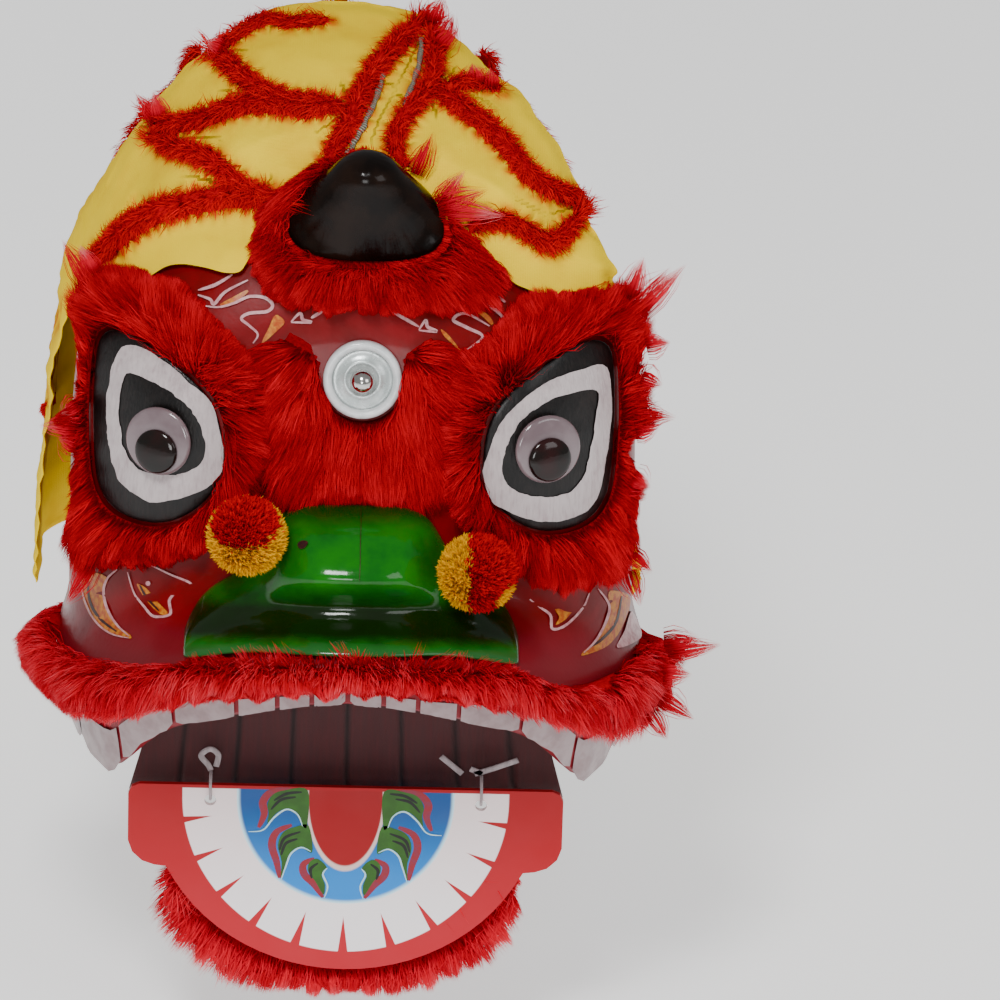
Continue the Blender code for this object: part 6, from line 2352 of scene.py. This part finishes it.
@dataclass
class Jaw:
    """The printed board, its leaves, the beard and the cotton ties."""

    board_front: float = -126.2
    centre_z: float = -253.2
    hole_x: float = 61.0

    def build(self) -> None:
        """Build the jaw's pieces."""
        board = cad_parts["jaw_board"]
        board.data.materials.clear()
        board.data.materials.append(JAW_PRINT.make())
        self._leaves()
        pelt = Pelt(length=22, spread=0.4, width=0.52, lift=0.35, fall=0.25, tuft=6.0, gather=0.5, ruffle=0.2)
        FurPad("beard_fur", Body.JAW, 14500, Coat(pelt, FUR_LIP, 61), self._beard_comb, UNDER_LIP, shrink=3.0,
               edge=BEARD_EDGE, bears=self._beard_bears).build()
        self._ties()

    def _beard_bears(self, middles: np.ndarray, normals: np.ndarray) -> np.ndarray:
        """Return which of the beard's faces bear hair: those not covered by the board.

        Args:
            middles: The middles of the faces, one a row.
            normals: The skin's normals there, one a row.

        Returns:
            True for each face that bears hair.
        """
        offset = middles / MM + np.array(SEAT) - np.array([0.0, 0.0, self.centre_z])
        reach = np.hypot(offset[:, 0], offset[:, 2])
        return (normals[:, 1] > -0.3) | (reach > 90.0)

    def _beard_comb(self, roots: np.ndarray, normals: np.ndarray) -> np.ndarray:
        """Comb the beard away from the board's arc centre.

        Args:
            roots: The hairs' roots, one a row, in metres.
            normals: The skin's normals there, one a row; not used.

        Returns:
            A direction for each hair, one a row.
        """
        centre = np.array(to_model(Vector((0, 0, self.centre_z))))
        ways = (roots - centre) * np.array([1.0, 0.0, 1.0])
        return units(ways) + np.array([0.0, 0.1, -0.25])

    def _on_board(self, x: float, down: float) -> tuple[Vector, Vector]:
        """Return the point on the board's front at x and a height above the arc's centre."""
        return to_model(Vector((x, self.board_front, self.centre_z + down))), Vector((0, -1, 0))

    def _leaves(self) -> None:
        """Lay the printed leaves on both sides of the tongue."""
        greens = (
            ((-17.2, 4.2), (-27.7, 3.9), (-33, 1.4), (-35.2, -3.6), (-34.6, -8.1), (-35, -13.3), (-31.7, -8.6),
             (-27.7, -5.9), (-22.4, -8.1), (-19.3, -14), (-17.2, -13.8)),
            ((-16.4, -14.2), (-22.4, -14.7), (-27.9, -17.7), (-30.2, -24.4), (-28.4, -33.2), (-28.6, -41.4),
             (-26.2, -33.2), (-23.8, -27.3), (-19.8, -25.3), (-14.6, -27.6)),
            ((-12.2, -31), (-15.8, -33.0), (-16.3, -37.7), (-12.9, -42.9), (-9.2, -49.5), (-8.6, -44.3),
             (-10.1, -39.2), (-7.9, -35.4)),
        )
        halos = (
            ((-24, 4.6), (-33, 3.2), (-37.2, -2.1), (-36.6, -8.6), (-39, -15.5)),
            ((-24.1, -13.9), (-30.8, -17.6), (-32.9, -24.4), (-30.6, -33.2), (-29.2, -41.4)),
            ((-13.6, -30.9), (-18.4, -34), (-18, -39.2), (-13.6, -44.4), (-9.4, -51)),
        )
        veins = (
            ((-19.8, 3.2), (-26.7, 2.2), (-32.3, -1.4)), ((-22.4, 0.6), (-29, -0.9), (-33.6, -6.1)),
            ((-20.1, -17.2), (-27.2, -20.6), (-29.4, -26.8)), ((-21.4, -20.9), (-26.6, -23.4), (-28.6, -29.5)),
            ((-11.9, -33.2), (-15.2, -36.4), (-14.6, -41.2)),
        )
        curls = (
            ((-43.6, -17.7), (-37, -16.6), (-32.2, -10.2), (-26.6, -5.8), (-21.6, -8.3), (-19.3, -14.2)),
            ((-28.6, -42.6), (-26.3, -34.7), (-24.2, -28.6), (-19.8, -25.3), (-15.3, -27.2)),
            ((-7.7, -35.6), (-9.6, -39), (-7.4, -45.1), (-8.8, -51.2)),
        )
        layers = (("leaf_halo", halos, LEAF_RED, 3.6, 0.06), ("leaf_green", greens, LEAF_GREEN, 0.0, 0.11),
                  ("leaf_vein", veins, LEAF_DARK, 1.5, 0.16), ("leaf_curl", curls, CURL_BLUE, 0.85, 0.21))
        for name, shapes, finish, width, lift in layers:
            film = PaintFilm(self._on_board, lift, 6.0)
            for shape in shapes:
                for sign in (1, -1):
                    drawn = [(sign * x, z) for x, z in shape]
                    film.stroke(drawn, width) if width else film.fill(drawn)
            film.make(name, finish, Body.JAW)

    def _ties(self) -> None:
        """Build the cotton ties: a loop through each hole and the tied ends above it."""
        ends = {
            "left": (((0, -243.5), (-1.4, -240.5), (-4.5, -236), (-0.5, -232.6), (3.2, -235.5), (2.3, -241.5)),),
            "right": (((-18.5, -234.0), (-8.8, -242.6)), ((-3.2, -242.6), (5.0, -239.6), (16.2, -235.0)),
                      ((-5.2, -240.0), (-1.5, -241.6), (0, -242.6))),
        }
        for side, sign in (("left", -1), ("right", 1)):
            points: list[Vector] = []
            faces: list[tuple[int, ...]] = []
            for shape in ends[side]:
                path = [Vector((sign * self.hole_x + x, -119.5, z)) for x, z in shape]
                self._tape(rounded([tuple(p) for p in path], 8, False), 2.6, 0.5, points, faces)
            mesh = mesh_from(f"tie_ends_{side}", [to_model(p) for p in points], faces)
            carry(mesh, "crease", np.zeros(len(points)))
            add_piece(f"tie_ends_{side}", mesh, COTTON, Body.HEAD, f"tie_knot_{side}")
            loop = rounded_node(f"tie_loop_{side}", 1)
            carry(loop, "crease", np.zeros(len(loop.vertices)))
            add_piece(f"tie_cord_{side}", loop, COTTON, Body.JAW, f"tie_loop_{side}")

    def _tape(self, path: list[Vector], width: float, thick: float, points: list[Vector], faces: list) -> None:
        """Add a flat cotton tape along a path to lists of points and faces.

        Args:
            path: The path, in mm.
            width: The tape's width, in mm.
            thick: Its thickness, in mm.
            points: The list of points, added to.
            faces: The list of faces, added to.
        """
        last = len(path) - 1
        first = len(points)
        for i, spot in enumerate(path):
            along = (path[min(i + 1, last)] - path[max(i - 1, 0)]).normalized()
            side = along.cross(Vector((0, 1, 0))).normalized() * width / 2
            depth = Vector((0, thick / 2, 0))
            points += [spot - side - depth, spot + side - depth, spot + side + depth, spot - side + depth]
        for i in range(last):
            a = first + 4 * i
            faces += [(a + k, a + (k + 1) % 4, a + 4 + (k + 1) % 4, a + 4 + k) for k in range(4)]
        faces += [tuple(first + k for k in range(4)), tuple(first + 4 * last + k for k in range(4))]


@dataclass
class Studio:
    """The floor, the lights and the camera."""

    aim: Vector = field(default_factory=lambda: Vector((0.0, -0.0923, -0.1678)))
    distance: float = 4.0
    lens: float = 320.0
    elevation: float = 27.0
    roll: float = 1.2
    shift_x: float = 0.148
    floor_z: float = -0.43
    floor_reach: float = 14.0

    def build(self) -> None:
        """Build the floor, the lights and the camera."""
        self._floor()
        self._lights()
        self._camera()

    def _floor(self) -> None:
        """Lay a flat floor that fills the picture from every side."""
        reach = self.floor_reach
        corners = ((-reach, -reach), (reach, -reach), (reach, reach), (-reach, reach))
        mesh = bpy.data.meshes.new("studio_floor")
        mesh.from_pydata([(x, y, self.floor_z) for x, y in corners], [], [(0, 1, 2, 3)])
        mesh.materials.append(Backdrop("studio_floor").make())
        floor = bpy.data.objects.new("studio_floor", mesh)
        bpy.context.scene.collection.objects.link(floor)

    def _lights(self) -> None:
        """Hang a soft key light, a fill and an even sky."""
        world = bpy.data.worlds.new("studio_sky")
        world.use_nodes = True
        background = world.node_tree.nodes["Background"]
        background.inputs["Color"].default_value = (1.0, 1.0, 1.0, 1.0)
        background.inputs["Strength"].default_value = 0.34
        bpy.context.scene.world = world
        for name, place, size, power in (("key", (-0.35, -1.5, 1.7), 0.5, 38.0), ("fill", (1.5, -1.5, 0.9), 0.9, 9.0),
                                         ("front", (-0.2, -2.6, 0.5), 0.6, 14.0)):
            lamp = bpy.data.lights.new(name, "AREA")
            lamp.energy = power
            lamp.size = size
            holder = bpy.data.objects.new(name, lamp)
            holder.location = place
            holder.rotation_euler = (self.aim - Vector(place)).to_track_quat("-Z", "Y").to_euler()
            bpy.context.scene.collection.objects.link(holder)

    def _camera(self) -> None:
        """Set the camera in front of the face and 27 degrees above it."""
        lens = bpy.data.cameras.new("view")
        lens.lens = self.lens
        lens.shift_x = self.shift_x
        lens.clip_start, lens.clip_end = 0.1, 50.0
        camera = bpy.data.objects.new("view", lens)
        rise = math.radians(self.elevation)
        back = Vector((0, -math.cos(rise), math.sin(rise)))
        camera.location = self.aim + back * self.distance
        camera.rotation_euler = (-back).to_track_quat("-Z", "Y").to_matrix().to_4x4().to_euler()
        camera.rotation_euler.rotate_axis("Z", math.radians(self.roll))
        bpy.context.scene.collection.objects.link(camera)
        bpy.context.scene.camera = camera


LEFT_EYE = Eye(
    "left", (-85.0, -119.0),
    ((-102.2, -81.5), (-92.3, -83.4), (-80.6, -91.2), (-72.9, -98), (-64.1, -104.9), (-60.8, -112.7),
     (-58.5, -121.5), (-57.2, -128), (-58.2, -137.1), (-63.1, -142.9), (-72.9, -147.8), (-86.5, -150.9),
     (-94.3, -148.9), (-103.1, -142), (-107.5, -132.2), (-109.8, -117.5), (-109.9, -103.9), (-107.5, -89.7)),
    ((-100.2, -93.6), (-92.3, -96.1), (-82.6, -101), (-72.9, -108.8), (-68, -116.6), (-65.5, -126.3),
     (-67.5, -133.2), (-74.8, -137.6), (-84.6, -138.6), (-95.3, -136.1), (-101.2, -129.3), (-103.6, -117.5),
     (-104.5, -105.8), (-102.6, -96.9)),
    (-84.5, -122.5), (-84.8, -126.8), EYE_FUR_LEFT_EDGE, seed=21)
RIGHT_EYE = Eye(
    "right", (88.0, -124.0),
    ((111.6, -86.1), (100.4, -87.9), (86.9, -93.3), (73.4, -103.2), (64.4, -114.5), (59, -128), (57.6, -139.2),
     (62.1, -147.3), (71.1, -152.7), (84.6, -155.9), (98.1, -154.1), (107.1, -148.2), (111.6, -134.7),
     (114.3, -116.7), (114.3, -98.7)),
    ((108, -97.4), (94.5, -99.2), (83.2, -104.1), (73.4, -112.7), (68, -123.5), (66.2, -133.8), (70.2, -141),
     (81.5, -144.6), (93.6, -143.7), (101.2, -138.3), (105.3, -125.7), (107.5, -110)),
    (84.5, -122.5), (84.8, -126.8), EYE_FUR_RIGHT_EDGE, seed=22)


def main() -> None:
    """Build every sub-assembly over the frame."""
    logging.basicConfig(level=logging.INFO, format="%(message)s")
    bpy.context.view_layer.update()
    for item in (Studio(), Shell(), Hood(), Crown(), Mirror(), LEFT_EYE, RIGHT_EYE, Muzzle(), Jaw()):
        item.build()
        log.info("built %s", type(item).__name__)


if __name__ == "__main__":
    main()
